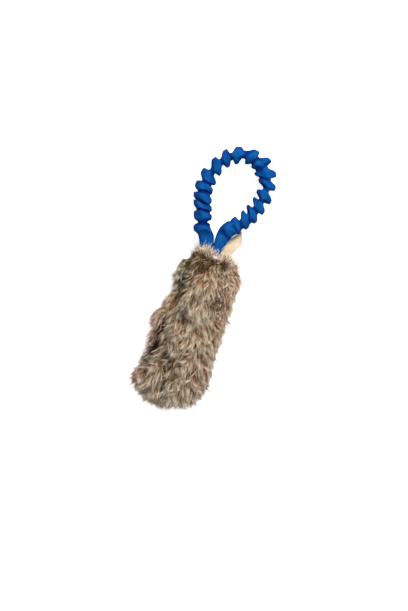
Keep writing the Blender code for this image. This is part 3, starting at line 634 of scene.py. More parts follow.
def addSleeve(name, first, last):
    sides, girth = sleeveShape["sides"], sleeveShape["girth"]
    steps = round((last - first) * sleeveShape["ringsEach"])
    each = (last - first) / steps
    vertices, paintedShadings, maps = [], [], []
    run = 0.0
    for step in range(steps + 1):
        place = mix(first, last, step / steps)
        if step:
            gone = (handleMiddle(place) - handleMiddle(place - each)).length
            run += sleeveShape["drawnUp"] * gone
        for number in range(sides):
            point, paintedShading = sleeveSurface(place, fullTurn * number / sides)
            vertices.append(point * mm)
            paintedShadings.append(paintedShading)
            maps.append((run, number * girth / sides))
    faces = tubeFaces(steps + 1, sides)
    for ring, turn in ((0, -1), (steps, 1)):
        start = ring * sides
        faces += capFaces(start, sides, len(vertices), turn)
        vertices.append(sum(vertices[start:start + sides], Vector()) / sides)
        paintedShadings.append(0.5)
        maps.append((maps[start][0], girth / 2.0))
    piece = newPiece(name, vertices, faces, jerseyCloth)
    mesh = piece.data
    for edge in mesh.edges:     # the end caps don't bend the light on the cloth beside them
        rings = {vertex // sides for vertex in edge.vertices}
        edge.use_edge_sharp = rings in ({0}, {steps})
    # The painted shading, which the jersey's colour reads.
    mesh.attributes.new("paintedShading", "FLOAT", "POINT").data.foreach_set("value", paintedShadings)
    cloth = mesh.uv_layers.new(name="cloth")
    for polygon in mesh.polygons:
        places = [maps[mesh.loops[i].vertex_index] for i in polygon.loop_indices]
        wraps = max(p[1] for p in places) - min(p[1] for p in places) > girth / 2.0
        for i, (x, y) in zip(polygon.loop_indices, places):
            cloth.data[i].uv = (x, y + girth if wraps and y < girth / 2.0 else y)
    return piece


# The legs stay at the neck and the grip goes with the pull: where the stretch starts and ends.
stretch = {"start": Vector((0.0, 0.135, 0.012)), "way": Vector((0.05327, 0.99858, 0.0)) * 0.055}
# The sewn ends stay in the mouth and bend with the fold.
foldUp = {"start": Vector((-0.006, 0.0965, 0.0240)), "end": Vector((-0.006, 0.1055, 0.0240))}


def stretchWithLoop(piece):
    end = stretch["start"] + stretch["way"]
    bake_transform(piece, "handle_base", "grip", start=stretch["start"], end=end)


sleeve = addSleeve("gatheredSleeve", *sleeveShape["moving"])
stretchWithLoop(sleeve)
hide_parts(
    "left_tail", "right_tail", "sleeve_left_leg", "sleeve_right_leg", "sleeve_grip",
)
for name, ends in sleeveShape["sewnEnds"].items():
    sewnEnd = addSleeve(name, *ends)
    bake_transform(sewnEnd, "tug_body", "handle_base", start=foldUp["start"], end=foldUp["end"])
print("sleeve", len(sleeve.data.polygons), "faces")


# Bungee cord, one length inside the sleeve from tail to tail, in mm.
cord = {"radius": 3.9, "sides": 16, "stations": (4.35, 21.6), "stepsEach": 8, "lowest": 5.4}


def addCord():
    first, last = cord["stations"]
    sides, radius = cord["sides"], cord["radius"]
    steps = round((last - first) * cord["stepsEach"])
    vertices = []
    for step in range(steps + 1):
        place = mix(first, last, step / steps)
        middle = handleMiddle(place)
        along = alongHandle(place, 0.1)
        out = up.cross(along).normalized()
        upper = along.cross(out)
        middle.z = max(middle.z, cord["lowest"])
        for number in range(sides):
            angle = fullTurn * number / sides
            spoke = out * math.cos(angle) + upper * math.sin(angle)
            vertices.append((middle + spoke * radius) * mm)
    faces = tubeFaces(steps + 1, sides)
    faces.append(tuple(range(sides)))
    faces.append(tuple(range(steps * sides, (steps + 1) * sides))[::-1])
    return newPiece("bungeeCord", vertices, faces, braid)


bungee = addCord()
stretchWithLoop(bungee)
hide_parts("bungee_left_leg", "bungee_right_leg", "bungee_grip")
print("cord")


# Stitches, set end to end along rows of points

def stitchTree():
    tree, given = newTree("stitchTree", ("gap", "length", "thickness"))
    rows = addNode(tree, "GeometryNodeMeshToCurve", [given["Geometry"]])
    places = addNode(tree, "GeometryNodeCurveToPoints", {
        "Curve": rows, "Length": given["gap"]
    }, mode="LENGTH")
    loop = addNode(tree, "GeometryNodeMeshUVSphere", {"Segments": 6, "Rings": 6, "Radius": 0.5})
    facing = addNode(tree, "FunctionNodeAlignRotationToVector", {
        "Vector": places.outputs["Tangent"]
    }, axis="Z")
    size = addNode(tree, "ShaderNodeCombineXYZ", [
        given["thickness"], given["thickness"], given["length"]
    ])
    stitches = addNode(tree, "GeometryNodeInstanceOnPoints", {
        "Points": places, "Instance": loop, "Rotation": facing, "Scale": size
    })
    closeTree(tree, addNode(tree, "GeometryNodeRealizeInstances", [stitches]), given)
    return tree


stitching = stitchTree()


def sew(name, rows, seam, thread):
    vertices, edges = [], []
    for row in rows:
        start = len(vertices)
        vertices += [tuple(point) for point in row]
        edges += [(i, i + 1) for i in range(start, len(vertices) - 1)]
    mesh = bpy.data.meshes.new(name + "Rows")
    mesh.from_pydata(vertices, edges, [])
    sizes = {size: seam[size] * mm for size in ("gap", "length", "thickness")}
    return growPiece(name, mesh, stitching, {**sizes, "Material": thread})


# Lockstitch rows that hold the flat ends: where on the handle, and how far round the top.
tailSeam = {
    "rows": [(24.02, 0.07, 0.93), (23.90, 0.07, 0.93), (1.42, 0.10, 0.90), (1.30, 0.10, 0.90)],
    "steps": 24,
    "proud": 0.12,                  # mm above the cloth
    "gap": 2.1, "length": 1.75, "thickness": 0.62,      # mm, a little thicker than real thread
}


def tailRow(place, first, last):
    row = []
    for step in range(tailSeam["steps"] + 1):
        angle = math.pi * mix(first, last, step / tailSeam["steps"])
        row.append(sleeveSurface(place, angle)[0] * mm + up * tailSeam["proud"] * mm)
    return row


tailStitches = sew("tailStitches", [tailRow(*r) for r in tailSeam["rows"]], tailSeam, blueThread)
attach(tailStitches, "handle_base")
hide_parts("left_tail_tack", "right_tail_tack")
print("stitches", len(tailStitches.data.polygons), "faces")


# Label, a tape folded in two and sewn in below the right tail, in mm
labelShape = {
    "upperEdge": [(0.5, 108.0, 18.5), (8.0, 120.5, 13.5), (22.4, 139.4, 4.6)],
    "lowerEdge": [(11.5, 95.5, 20.5), (20.2, 110.0, 16.0), (28.4, 124.3, 7.0)],
    "width": 17.0,
    "length": 34.0,                 # of each half
    "layerGap": 1.3,                # between the two halves of the tape
    "thickness": 0.4,
    "bow": 1.1,                     # how far the middle bulges between the edges
    "wave": 0.6,
    "floor": 1.2,
    "steps": 26,
    "across": 12,
}


def alongThree(points, share):  # a bow through three points
    first, middle, last = (Vector(p) for p in points)
    pull = middle * 2.0 - (first + last) * 0.5
    rest = 1.0 - share
    return first * rest ** 2 + pull * (2.0 * rest * share) + last * share ** 2


def labelPoint(step, side):  # on the tape's middle, down the lower half and back up the other
    steps, gap = labelShape["steps"], labelShape["layerGap"]
    share = 1.0 - abs(step / steps - 1.0)
    turn = max(1.0 - (1.0 - share) * labelShape["length"] / gap, 0.0)
    half = gap / 2.0 * math.sqrt(max(1.0 - turn * turn, 0.0))
    rise = -half if step < steps else half
    point = alongThree(labelShape["upperEdge"], share).lerp(
        alongThree(labelShape["lowerEdge"], share), side)
    bow = labelShape["bow"] * math.sin(math.pi * side) * math.sin(math.pi * share * 0.85)
    wave = labelShape["wave"] * math.sin(5.0 * share + 3.0 * side)
    point.z = max(point.z + bow + rise * (0.5 + 0.5 * share) + wave, labelShape["floor"])
    return point


def addLabel():
    across, last = labelShape["across"], 2 * labelShape["steps"]
    width = across + 1
    rows = [[labelPoint(step, n / across) for n in range(width)] for step in range(last + 1)]
    points, normals, maps = [], [], []
    for step, row in enumerate(rows):
        for number, point in enumerate(row):
            on = rows[min(step + 1, last)][number] - rows[max(step - 1, 0)][number]
            aside = row[min(number + 1, across)] - row[max(number - 1, 0)]
            points.append(point)
            normals.append(aside.cross(on).normalized())
            maps.append((
                step / labelShape["steps"] * labelShape["length"],
                number / across * labelShape["width"],
            ))
    half, under = labelShape["thickness"] / 2.0, len(points)
    vertices = [(p + n * half) * mm for p, n in zip(points, normals)]
    vertices += [(p - n * half) * mm for p, n in zip(points, normals)]
    faces = []
    for a in (step * width + number for step in range(last) for number in range(across)):
        face = (a, a + 1, a + width + 1, a + width)
        faces += [face, tuple(under + corner for corner in face[::-1])]
    end = last * width
    border = [(n, n + 1) for n in range(across)]
    border += [(across + n * width, across + (n + 1) * width) for n in range(last)]
    border += [(end + n + 1, end + n) for n in reversed(range(across))]
    border += [((n + 1) * width, n * width) for n in reversed(range(last))]
    faces += [(b, a, under + a, under + b) for a, b in border]
    piece = newPiece("tapeLabel", vertices, faces, tape)
    uv = piece.data.uv_layers.new(name="tape")
    for loop in piece.data.loops:
        uv.data[loop.index].uv = maps[loop.vertex_index % under]
    return piece


labelPiece = addLabel()
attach(labelPiece, "label")
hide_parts("label")
print("label")


# Pelt and its hair

# The skin under the hair, closed end to mouth: its edges, top and bottom as (y, place) in mm.
pelt = {
    "leftEdge": [(-96, -8), (-90, -22), (-85, -28.5), (-80, -35), (-70, -41.5), (-50, -36.5),
                 (-20, -36), (-6, -37), (8, -43), (28, -36), (45, -30), (58, -33), (68, -34.5),
                 (80, -32), (91, -24), (96.5, -21)],
    "rightEdge": [(-96, 2), (-90, 14), (-85, 23), (-80, 31), (-72, 38.5), (-54, 43),
                  (-20, 40.5), (8, 41), (35, 38.5), (60, 40), (80, 38.5), (91, 29), (96.5, 14.5)],
    "top": [(-96, 37), (-90, 47), (-80, 54), (-65, 57.5), (0, 57.0), (40, 57), (60, 54.5), (70, 51.5),
            (80, 47), (90, 40.5), (96.5, 33.5)],
    "bottom": [(-96, 26), (-88, 9), (-80, 3), (-60, 1.5), (60, 1.5), (80, 5), (96.5, 13.5)],
    "ends": (-96.0, 96.5), "rings": 120, "sides": 120,
    "gathering": 0.06,              # draws the rings together towards both ends
    "power": 2.5,                   # 2 is a round section
    "lumps": ((0.035, 1.7), (0.09, 0.9)),       # noise: per mm, and mm high
    "smoothFrom": (78.0, 12.0),     # the lumps fade here towards the mouth
    "sink": 4.2,                    # most that partings and hollows sink together, in mm
    "endBulge": 1.5, "floor": 1.2,  # mm
}

# Partings, where the hair falls to both sides: points on the upper side, width and depth, in mm.
partings = [
    ([(-22, 92), (-25.5, 80), (-25, 50), (-28, 25), (-28.5, 0), (-29, -18), (-29.5, -37),
      (-32, -70)], 4.6, 4.0),
    ([(-5.2, -55), (-5.2, -70)], 4.0, 3.5),
    ([(14, 90), (20, 70), (23, 55), (26.5, 34)], 4.5, 3.0),
]

# Hollows between the locks: middle and radii in mm, and depth.
hollows = [
    ((-26.5, -13.0), (3.2, 9.0), 9.5),
    ((-29.5, -34.0), (5.0, 5.5), 8.0),
    ((-33.0, -58.0), (3.0, 6.0), 4.0),
    ((-5.2, -64.0), (3.5, 9.0), 9.0),
    ((26.3, 37.5), (3.5, 4.5), 6.0),
    ((-26.0, 66.0), (3.6, 15.0), 8.5),
    ((-7.0, 87.0), (6.0, 4.0), 7.5),
    ((-17.0, 80.0), (4.0, 4.0), 4.5),
    ((-10.0, 12.0), (3.0, 6.0), 3.0),
    ((12.0, -30.0), (3.0, 6.0), 3.0),
]


def skinPoint(y, angle):
    left, right, top, bottom = (
        lookUp(pelt[edge], y) for edge in ("leftEdge", "rightEdge", "top", "bottom")
    )
    power = 2.0 / pelt["power"]
    x = (left + right) / 2.0 + (right - left) / 2.0 * squarer(math.cos(angle), power)
    z = (top + bottom) / 2.0 + (top - bottom) / 2.0 * squarer(math.sin(angle), power)
    place = Vector((x, y, z))
    start, over = pelt["smoothFrom"]
    lumps = lumpsAt(place, pelt["lumps"]) * (1.0 - ease((y - start) / over))
    outward = (place - Vector(((left + right) / 2.0, y, (top + bottom) / 2.0))).normalized()
    place += outward * lumps
    if math.sin(angle) > -0.1:
        sink = sum(
            depth * math.exp(-(offPath(x, y, path).length / width) ** 2)
            for path, width, depth in partings
        )
        sink += sum(depth * spot(x, y, centre, radii) for centre, radii, depth in hollows)
        place -= outward * min(sink, pelt["sink"])
    place.z = max(place.z, pelt["floor"])
    return place, outward


# Patches of the coat seen from above: middle and radii in mm, then what each adds to the
# tone and to the shares of rosy, grey-green and brown hair.
# Some patches paint light or shade, as marked.
patches = [
    ((30, 66), (12, 34), 0.24, 0.55, 0.0, 0.0),       # right shoulder, rosy tan
    ((-34, 64), (9, 22), 0.30, 0.0, 0.85, 0.0),       # upper left lobe, grey-green
    ((-20, 68), (5, 22), -0.08, 0.0, 0.45, 0.10),     # painted shade beside the seam, in grey-green hair
    ((-7, 86), (9, 5), -0.20, 0.0, 0.0, 0.75),        # darker and browner below the mouth
    ((-4, 98), (24, 7), 0.45, 0.30, 0.0, 0.0),        # pale hair round the mouth
    ((-41, -26), (9, 42), 0.46, 0.75, 0.0, 0.05),     # left flank, rosy brown
    ((-14, 100), (10, 7), 0.40, 0.1, 0.0, 0.0),
    ((-42, -62), (12, 16), 0.20, 0.3, 0.2, 0.0),
    ((-16, 4), (10, 26), -0.12, 0.0, 0.10, 0.10),     # painted shade right of the seam
    ((-12, -31), (9, 11), -0.58, 0.0, 0.1, 0.20),
    ((-32, 26), (8, 10), 0.28, 0.0, 0.0, 0.0),
    ((-44, 2), (8, 14), 0.35, 0.5, 0.0, 0.0),
    ((-38, -20), (6, 12), 0.48, 0.5, 0.0, 0.0),
    ((-13, 33), (7, 14), -0.36, 0.0, 0.1, 0.1),
    ((28, -60), (16, 10), -0.20, 0.0, 0.1, 0.05),
    ((40, 72), (10, 16), 0.30, 0.1, 0.0, 0.0),
    # painted light on the right shoulder
    ((44, 48), (10, 28), 0.85, 0.0, 0.0, 0.0),
    ((40, -70), (14, 24), 0.30, 0.3, 0.0, 0.0),
    ((8, 32), (14, 20), 0.26, 0.1, 0.0, 0.0),         # crown of the upper half
    ((33, 28), (6, 9), 0.10, 0.70, 0.0, 0.0),
    ((36, -10), (14, 70), 0.18, 0.25, 0.0, 0.0),      # painted light on the right side
    ((-4, -62), (4, 9), -0.30, 0.0, 0.55, 0.2),       # painted shade in the parting near the closed end, with grey-green hair
    ((30, 34), (10, 26), 0.0, -0.35, 0.0, 0.0),
    ((-2, -76), (5, 6), 0.0, 0.0, 0.75, 0.0),
    ((0, -96), (44, 16), 0.58, 0.45, 0.0, 0.0),       # ends of the hair, paler
    ((-22, -62), (12, 14), 0.08, 0.35, 0.2, 0.0),
    ((2, 20), (26, 30), -0.04, 0.0, 0.10, 0.0),
]

# How the hair lies: first on top and then on the sides, and what takes over where, in mm.
lie = {
    "swirls": ((0.030, 0.6), (0.085, 0.5)),     # noise that turns the flow: per mm, and how far
    "stand": (0.32, 0.20), "length": (23.0, 15.5),
    "tone": 0.15, "shares": (0.10, 0.12, 0.05),
    "parted": (0.55, 5.0, 0.24),    # how far a parting turns and shortens the hair, and how far painted shade darkens it
    "hollowed": (0.12, 0.10, 0.06),     # how far a mm of hollow darkens, shortens and browns the hair; the darkening and browning are painted shadow
    "mouthLength": 14.0, "endLength": 9.0, "underLength": 13.0,
    "mouthFlow": (1.65, 0.012),     # ahead, and outwards for each mm from the mouth's middle
    "handleSpot": ((4.0, 98.0), (6.5, 8.0), 0.85),      # place, size and shortening
    "notch": ((-36.0, 50.0), (8.0, 8.0), 0.55),         # in the left outline
}


# Flow of the hair, how far it stands up, length, tone and the shares of the colours.
def hairField(place, outward):
    x, y, z = place
    swirl = sum((noise.noise_vector(place * fine) * far for fine, far in lie["swirls"]), Vector())
    flow = Vector((x * 0.002, -1.0, -0.10)) + Vector((swirl.x, 0.0, swirl.z))
    flow -= outward * flow.dot(outward)
    sideways = ease((abs(outward.x) - 0.45) / 0.5)
    stand = mix(*lie["stand"], sideways) + 0.12 * noise.noise(place * 0.05)
    length = mix(*lie["length"], sideways) + 3.0 * noise.noise(place * 0.06)
    tone = lie["tone"] + 0.10 * noise.noise(place * 0.045) + 0.16 * sideways
    shares = list(lie["shares"])
    upper = ease((z - 20.0) / 14.0)
    turned, shortened, paintedShade = lie["parted"]
    # A parting turns and shortens the hair, and painted shade darkens it.
    for path, width, depth in partings:
        away = offPath(x, y, path)
        near = math.exp(-(away.length / (width * 1.15)) ** 2) * upper
        flow += Vector((away.x, away.y, 0.0)).normalized() * turned * near
        length -= shortened * near
        tone -= paintedShade * near
    paintedShade, shortened, browned = lie["hollowed"]
    for centre, radii, depth in hollows:    # it would lie over the hollow from just behind it, so painted shadow darkens and browns that hair
        behind = (centre[0], centre[1] + (7.0 if centre[1] < 76.0 else -5.0))
        above = spot(x, y, behind, (radii[0] * 1.1, radii[1] + 5.0)) * upper
        tone -= paintedShade * depth * above
        length *= 1.0 - shortened * depth * above
        shares[2] += browned * depth * above
    for centre, radii, toneShift, *shareShifts in patches:
        strength = spot(x, y, centre, radii) * upper
        tone += toneShift * strength
        shares = [share + shift * strength for share, shift in zip(shares, shareShifts)]
    # The neck's hair turns up and round the mouth, and is short where the handle lies on it.
    ragged = y + 9.0 * noise.noise(place * 0.09) + 4.0 * noise.noise(place * 0.23)
    neck = ease((ragged - 82.0) / 15.0)
    stand += 0.30 * ease((y - 62.0) / 22.0)
    length = mix(length, lie["mouthLength"], ease((y - 72.0) / 18.0))
    ahead, outwards = lie["mouthFlow"]
    flow.y += ahead * neck
    flow.x += outwards * (x + 4.0) * neck
    centre, radii, shortened = lie["handleSpot"]
    length *= 1.0 - shortened * spot(x, y, centre, radii) * upper
    centre, radii, shortened = lie["notch"]
    length *= 1.0 - shortened * spot(x, y, centre, radii)
    length = mix(length, lie["endLength"], ease((-74.0 - y) / 16.0))
    under = ease((14.0 - z) / 12.0)     # the underside lies flat
    stand = mix(stand, 0.10, under)
    length = mix(length, lie["underLength"], under)
    return flow.normalized(), stand, length, tone, *shares


def addPelt():
    vertices, fields = [], []
    first, last = pelt["ends"]
    rings, sides = pelt["rings"], pelt["sides"]
    for ring in range(rings):
        share = ring / (rings - 1)
        y = mix(first, last, share - math.sin(fullTurn * share) * pelt["gathering"])
        for side in range(sides):
            place, outward = skinPoint(y, fullTurn * side / sides)
            vertices.append(place)
            fields.append(hairField(place, outward))
    faces = tubeFaces(rings, sides)
    for start, turn, bulge in ((0, 1, pelt["endBulge"]), ((rings - 1) * sides, -1, 0.0)):
        middle = sum(vertices[start:start + sides], Vector()) / sides
        middle.y -= bulge
        faces += capFaces(start, sides, len(vertices), turn)
        vertices.append(middle)
        fields.append(hairField(middle, -toMouth))
    piece = newPiece("peltDown", [v * mm for v in vertices], faces, down)
    attributes = piece.data.attributes
    flow = attributes.new("flow", "FLOAT_VECTOR", "POINT")
    flow.data.foreach_set("vector", [value for field in fields for value in field[0]])
    for index, name in enumerate(("stand", "hairLength", "tone", "rosy", "green", "brown"), 1):
        scale = mm if name == "hairLength" else 1.0
        values = [field[index] * scale for field in fields]
        attributes.new(name, "FLOAT", "POINT").data.foreach_set("value", values)
    return piece


# The coats of hair, sizes in mm: short dense underhair, locks, and loose pale wisps on top.
# cuts are the y at which a coat is cut into pieces.
coats = {
    # The soft underhair's tone is set low as painted shade in the gaps between the locks.
    "softHair": {
        "perSquareMm": 0.80, "width": 0.46, "joints": 2, "lengthShare": 0.62, "clump": 3.2,
        "clumpPull": 0.45, "tuft": 9.0, "tuftPull": 0.15, "wave": 3.0, "stray": 0.6,
        "droop": 0.02, "tone": -0.34, "toneSpread": 0.5, "seed": 11,
        "cuts": (-98, -58, -20, 18, 56, 98),
    },
    "guardHair": {
        "perSquareMm": 1.05, "width": 0.46, "joints": 3, "lengthShare": 0.95, "clump": 3.2,
        "clumpPull": 0.85, "tuft": 12.0, "tuftPull": 0.22, "wave": 13.0, "stray": 1.3,
        "droop": 0.10, "tone": 0.06, "toneSpread": 0.9, "seed": 3,
        "cuts": (-98, -70, -44, -16, 12, 40, 68, 98),
    },
    "wispHair": {
        "perSquareMm": 0.17, "width": 1.05, "joints": 5, "lengthShare": 1.0, "clump": 3.0,
        "clumpPull": 0.92, "tuft": 16.0, "tuftPull": 0.0, "wave": 14.0, "stray": 1.4,
        "droop": 0.16, "tone": 0.30, "toneSpread": 1.5, "seed": 23,
        "cuts": (-98, -30, 35, 98),
    },
}
# What chance does. A pair is how much it adds, and what is there without it.
chances = {
    "lockStand": (0.7, 0.65), "lockLength": (0.30, 0.85), "hairLength": (0.35, 0.75),
    "lockTone": (1.50, -0.75), "tuftTone": (0.44, -0.22), "toneLimits": (0.02, 0.97),
    "jitter": 0.13,                 # how far each hair strays from its lock's way
    "tuftDraw": 0.45,               # share that a tuft's chance has in a hair's colour family
    "lockCell": (1.0, 0.5, 1.0), "tuftCell": (1.0, 0.6, 1.0),   # under 1 is longer along the body
    "lockBend": 1.2, "tuftBend": 1.6,   # over 1 keeps the pull to the tips
    "swayStep": 130.0,              # how fast the waves change from lock to lock
}
# Where the hair gives way, in metres: (share that goes on from there, what is added).
yielding = {"floor": (0.02, 0.5 * mm), "top": (0.4, 41.0 * mm), "right": (0.4, 32.0 * mm)}
colourColumns = 64.0                # tones that one colour map holds side by side


def hairTree():
    tree, given = newTree("hairTree", (
        "density", "width", "lengthShare", "clump", "clumpPull", "tuft", "tuftPull", "wave",
        "stray", "droop", "tone", "toneSpread", "low", "high",
    ), ("seed", "joints"))
    maths, vectors = "ShaderNodeMath", "ShaderNodeVectorMath"
    apart, joined = "ShaderNodeSeparateXYZ", "ShaderNodeCombineXYZ"
    half = (0.5, 0.5, 0.5)
    saved = {}
    for name in ("flow", "rootPlace", "stand", "hairLength", "tone", "rosy", "green", "brown",
                 "column", "reach", "along", "side"):
        kind = "FLOAT_VECTOR" if name in ("flow", "rootPlace") else "FLOAT"
        saved[name] = addNode(
            tree, "GeometryNodeInputNamedAttribute", {"Name": name}, data_type=kind)

    def made(kind, operation, *values, out=0, **named):  # what one maths node makes of values
        inputs = {**dict(enumerate(values)), **named}
        return addNode(tree, kind, inputs, operation=operation).outputs[out]

    def save(geometry, values, kind="FLOAT", domain="POINT"):
        for name, value in values.items():
            geometry = addNode(tree, "GeometryNodeStoreNamedAttribute", {
                "Geometry": geometry, "Name": name, "Value": value
            }, data_type=kind, domain=domain)
        return geometry

    def cells(where, size, cell):  # the middle of the lock round a place, and its random colour
        scale = made(maths, "DIVIDE", 1.0, size)
        lock = addNode(tree, "ShaderNodeTexVoronoi", {
            "Vector": made(vectors, "MULTIPLY", where, cell), "Scale": scale
        }).outputs
        return made(vectors, "DIVIDE", lock["Position"], cell), lock["Color"]

    # Roots, spread over one band of the pelt.
    place = addNode(tree, "GeometryNodeInputPosition").outputs[0]
    now = addNode(tree, apart, [place]).outputs
    inBand = addNode(tree, "FunctionNodeBooleanMath", [
        addNode(tree, "FunctionNodeCompare", [now["Y"], given[edge]],
                data_type="FLOAT", operation=operation)
        for edge, operation in (("low", "GREATER_EQUAL"), ("high", "LESS_THAN"))
    ], operation="AND")
    roots = addNode(tree, "GeometryNodeDistributePointsOnFaces", {
        "Mesh": given["Geometry"], "Selection": inBand, "Density": given["density"],
        "Seed": given["seed"],
    }, distribute_method="RANDOM").outputs
    chance = addNode(tree, "ShaderNodeTexWhiteNoise", {
        "Vector": made(vectors, "SCALE", place, Scale=971.0)
    }).outputs["Color"]
    _, lockColour = cells(place, given["clump"], chances["lockCell"])
    _, tuftColour = cells(place, given["tuft"], chances["tuftCell"])
    dice, lock, tuft = (
        addNode(tree, apart, [colour]).outputs for colour in (chance, lockColour, tuftColour)
    )

    # The way the hair points, along the flow and up from the skin, and how long it is.
    normal = roots["Normal"]
    stand = made(maths, "MULTIPLY", saved["stand"], made(
        maths, "MULTIPLY_ADD", lock["X"], *chances["lockStand"]))
    stray = made(vectors, "SUBTRACT", lockColour, half)
    lift = made(vectors, "DOT_PRODUCT", stray, normal, out=1)
    stray = made(vectors, "SUBTRACT", stray, made(
        vectors, "SCALE", normal, Scale=made(maths, "MULTIPLY", lift, 0.7)))
    jitter = made(vectors, "SUBTRACT", chance, half)
    way = made(vectors, "ADD", saved["flow"], made(vectors, "SCALE", normal, Scale=stand))
    way = made(vectors, "ADD", way, made(vectors, "SCALE", stray, Scale=given["stray"]))
    way = made(vectors, "ADD", way, made(vectors, "SCALE", jitter, Scale=chances["jitter"]))
    way = made(vectors, "NORMALIZE", way)
    length = made(maths, "MULTIPLY", saved["hairLength"], given["lengthShare"])
    length = made(maths, "MULTIPLY", length, made(
        maths, "MULTIPLY",
        made(maths, "MULTIPLY_ADD", dice["Y"], *chances["hairLength"]),
        made(maths, "MULTIPLY_ADD", lock["Y"], *chances["lockLength"]),
    ))

    # Colour column: family by chance, tone by place, lock and hair.
    tone = made(maths, "ADD", made(maths, "ADD", saved["tone"], given["tone"]), 0.5)
    for shift in (
        made(maths, "MULTIPLY_ADD", lock["Z"], *chances["lockTone"]),
        made(maths, "MULTIPLY_ADD", tuft["X"], *chances["tuftTone"]),
        made(maths, "MULTIPLY", made(maths, "SUBTRACT", dice["Z"], 0.5), given["toneSpread"]),
    ):
        tone = made(maths, "ADD", tone, shift)
    tone = addNode(tree, "ShaderNodeClamp", [tone, *chances["toneLimits"]])
    draw = made(maths, "MULTIPLY_ADD", tuft["Y"], chances["tuftDraw"], made(
        maths, "MULTIPLY", dice["X"], 1.0 - chances["tuftDraw"]))
    uptoGreen = made(maths, "ADD", saved["rosy"], saved["green"])
    uptoBrown = made(maths, "ADD", uptoGreen, saved["brown"])
    isRosy = made(maths, "LESS_THAN", draw, saved["rosy"])
    isGreen = made(maths, "MULTIPLY", made(maths, "SUBTRACT", 1.0, isRosy), made(
        maths, "LESS_THAN", draw, uptoGreen))
    isBrown = made(maths, "MULTIPLY", made(maths, "GREATER_THAN", draw, uptoGreen), made(
        maths, "LESS_THAN", draw, uptoBrown))
    family = made(maths, "MULTIPLY_ADD", isGreen, 2.0, made(maths, "MULTIPLY", isBrown, 3.0))
    column = made(maths, "ADD", made(maths, "ADD", isRosy, family), tone)
    column = made(maths, "DIVIDE", column, float(len(hairColours)))
    column = made(maths, "FLOOR", made(maths, "MULTIPLY", column, colourColumns))
    column = made(maths, "DIVIDE", column, colourColumns)
    points = save(roots["Points"], {"rootPlace": place}, "FLOAT_VECTOR")
    points = save(points, {"column": column, "reach": length})

    # One hair: a three-sided spike, plump in its lower part.
    spike = addNode(tree, "GeometryNodeMeshCone", {
        "Vertices": 3, "Side Segments": given["joints"], "Radius Top": 0.0,
        "Radius Bottom": 1.0, "Depth": 1.0,
    }, fill_type="NGON")
    spike = save(spike, {"along": now["Z"]})
    turn = made(maths, "ARCTAN2", now["Y"], now["X"])
    side = made(maths, "MULTIPLY_ADD", turn, 1.0 / fullTurn, 0.5)
    spike = save(spike, {"side": side}, domain="CORNER")
    belly = made(maths, "MULTIPLY_ADD", made(maths, "POWER", now["Z"], 1.5), 0.8, 1.0)
    plump = addNode(tree, joined, [
        made(maths, "MULTIPLY", now["X"], belly), made(maths, "MULTIPLY", now["Y"], belly),
        now["Z"],
    ])
    spike = addNode(tree, "GeometryNodeSetPosition", {"Geometry": spike, "Position": plump})
    facing = addNode(tree, "FunctionNodeAlignRotationToVector", {"Vector": way}, axis="Z")
    thick = made(maths, "MULTIPLY", given["width"], 0.5)
    hairs = addNode(tree, "GeometryNodeInstanceOnPoints", {
        "Points": points, "Instance": spike, "Rotation": facing,
        "Scale": addNode(tree, joined, [thick, thick, saved["reach"]]),
    })
    hairs = addNode(tree, "GeometryNodeRealizeInstances", [hairs])

    # Hairs lean to the middles of their lock and tuft towards the tip, wave a little and hang.
    along, root = saved["along"], saved["rootPlace"]
    pulls = []
    for group in ("clump", "tuft"):
        kind = "lock" if group == "clump" else group
        middle, _ = cells(root, given[group], chances[kind + "Cell"])
        strength = made(maths, "MULTIPLY", made(
            maths, "POWER", along, chances[kind + "Bend"]), given[group + "Pull"])
        pulls.append(made(vectors, "SCALE", made(vectors, "SUBTRACT", middle, root),
                          Scale=strength))
        if group == "clump":
            drift = made(vectors, "SCALE", middle, Scale=chances["swayStep"])
    drift = made(vectors, "ADD", drift, addNode(tree, joined, [along, 0.0, 0.0]).outputs[0])
    sway = addNode(tree, "ShaderNodeTexNoise", {"Vector": drift, "Scale": 1.0, "Detail": 1.0})
    swing = made(vectors, "SCALE", made(vectors, "SUBTRACT", sway.outputs["Color"], half),
                 Scale=made(maths, "MULTIPLY", along, given["wave"]))
    fall = made(maths, "MULTIPLY", made(maths, "MULTIPLY", along, along), saved["reach"])
    fall = made(maths, "MULTIPLY", fall, made(maths, "MULTIPLY", given["droop"], -1.0))
    hang = addNode(tree, joined, [0.0, 0.0, fall])
    offset = made(vectors, "ADD", made(vectors, "ADD", *pulls), made(
        vectors, "ADD", swing, hang))
    hairs = addNode(tree, "GeometryNodeSetPosition", {"Geometry": hairs, "Offset": offset})
    height = made(maths, "MAXIMUM", now["Z"], made(
        maths, "MULTIPLY_ADD", now["Z"], *yielding["floor"]))
    height = made(maths, "MINIMUM", height, made(
        maths, "MULTIPLY_ADD", height, *yielding["top"]))
    inside = made(maths, "MINIMUM", now["X"], made(
        maths, "MULTIPLY_ADD", now["X"], *yielding["right"]))
    lying = addNode(tree, joined, [inside, now["Y"], height])
    hairs = addNode(tree, "GeometryNodeSetPosition", {"Geometry": hairs, "Position": lying})

    # Colour map: the hair's column across, root to tip up.
    left = made(maths, "ADD", saved["column"], 0.2 / colourColumns)
    u = made(maths, "MULTIPLY_ADD", saved["side"], 0.6 / colourColumns, left)
    uv = addNode(tree, joined, [u, along, 0.0])
    hairs = save(hairs, {"strand": uv, "OFBake": uv}, "FLOAT2", "CORNER")
    for name in ("rootPlace", "column", "reach", "along", "side"):
        hairs = addNode(tree, "GeometryNodeRemoveAttribute", {"Geometry": hairs, "Name": name})
    closeTree(tree, hairs, given)
    return tree


def addHair(name, under, tree, coat, low, high):
    sizes = {size: coat[size] * mm for size in ("width", "clump", "tuft", "wave")}
    piece = growPiece(name, under.data, tree, {
        **coat, **sizes, "density": coat["perSquareMm"] / mm ** 2,
        "low": low * mm, "high": high * mm, "Material": hair,
    })
    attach(piece, "tug_body")
    return piece


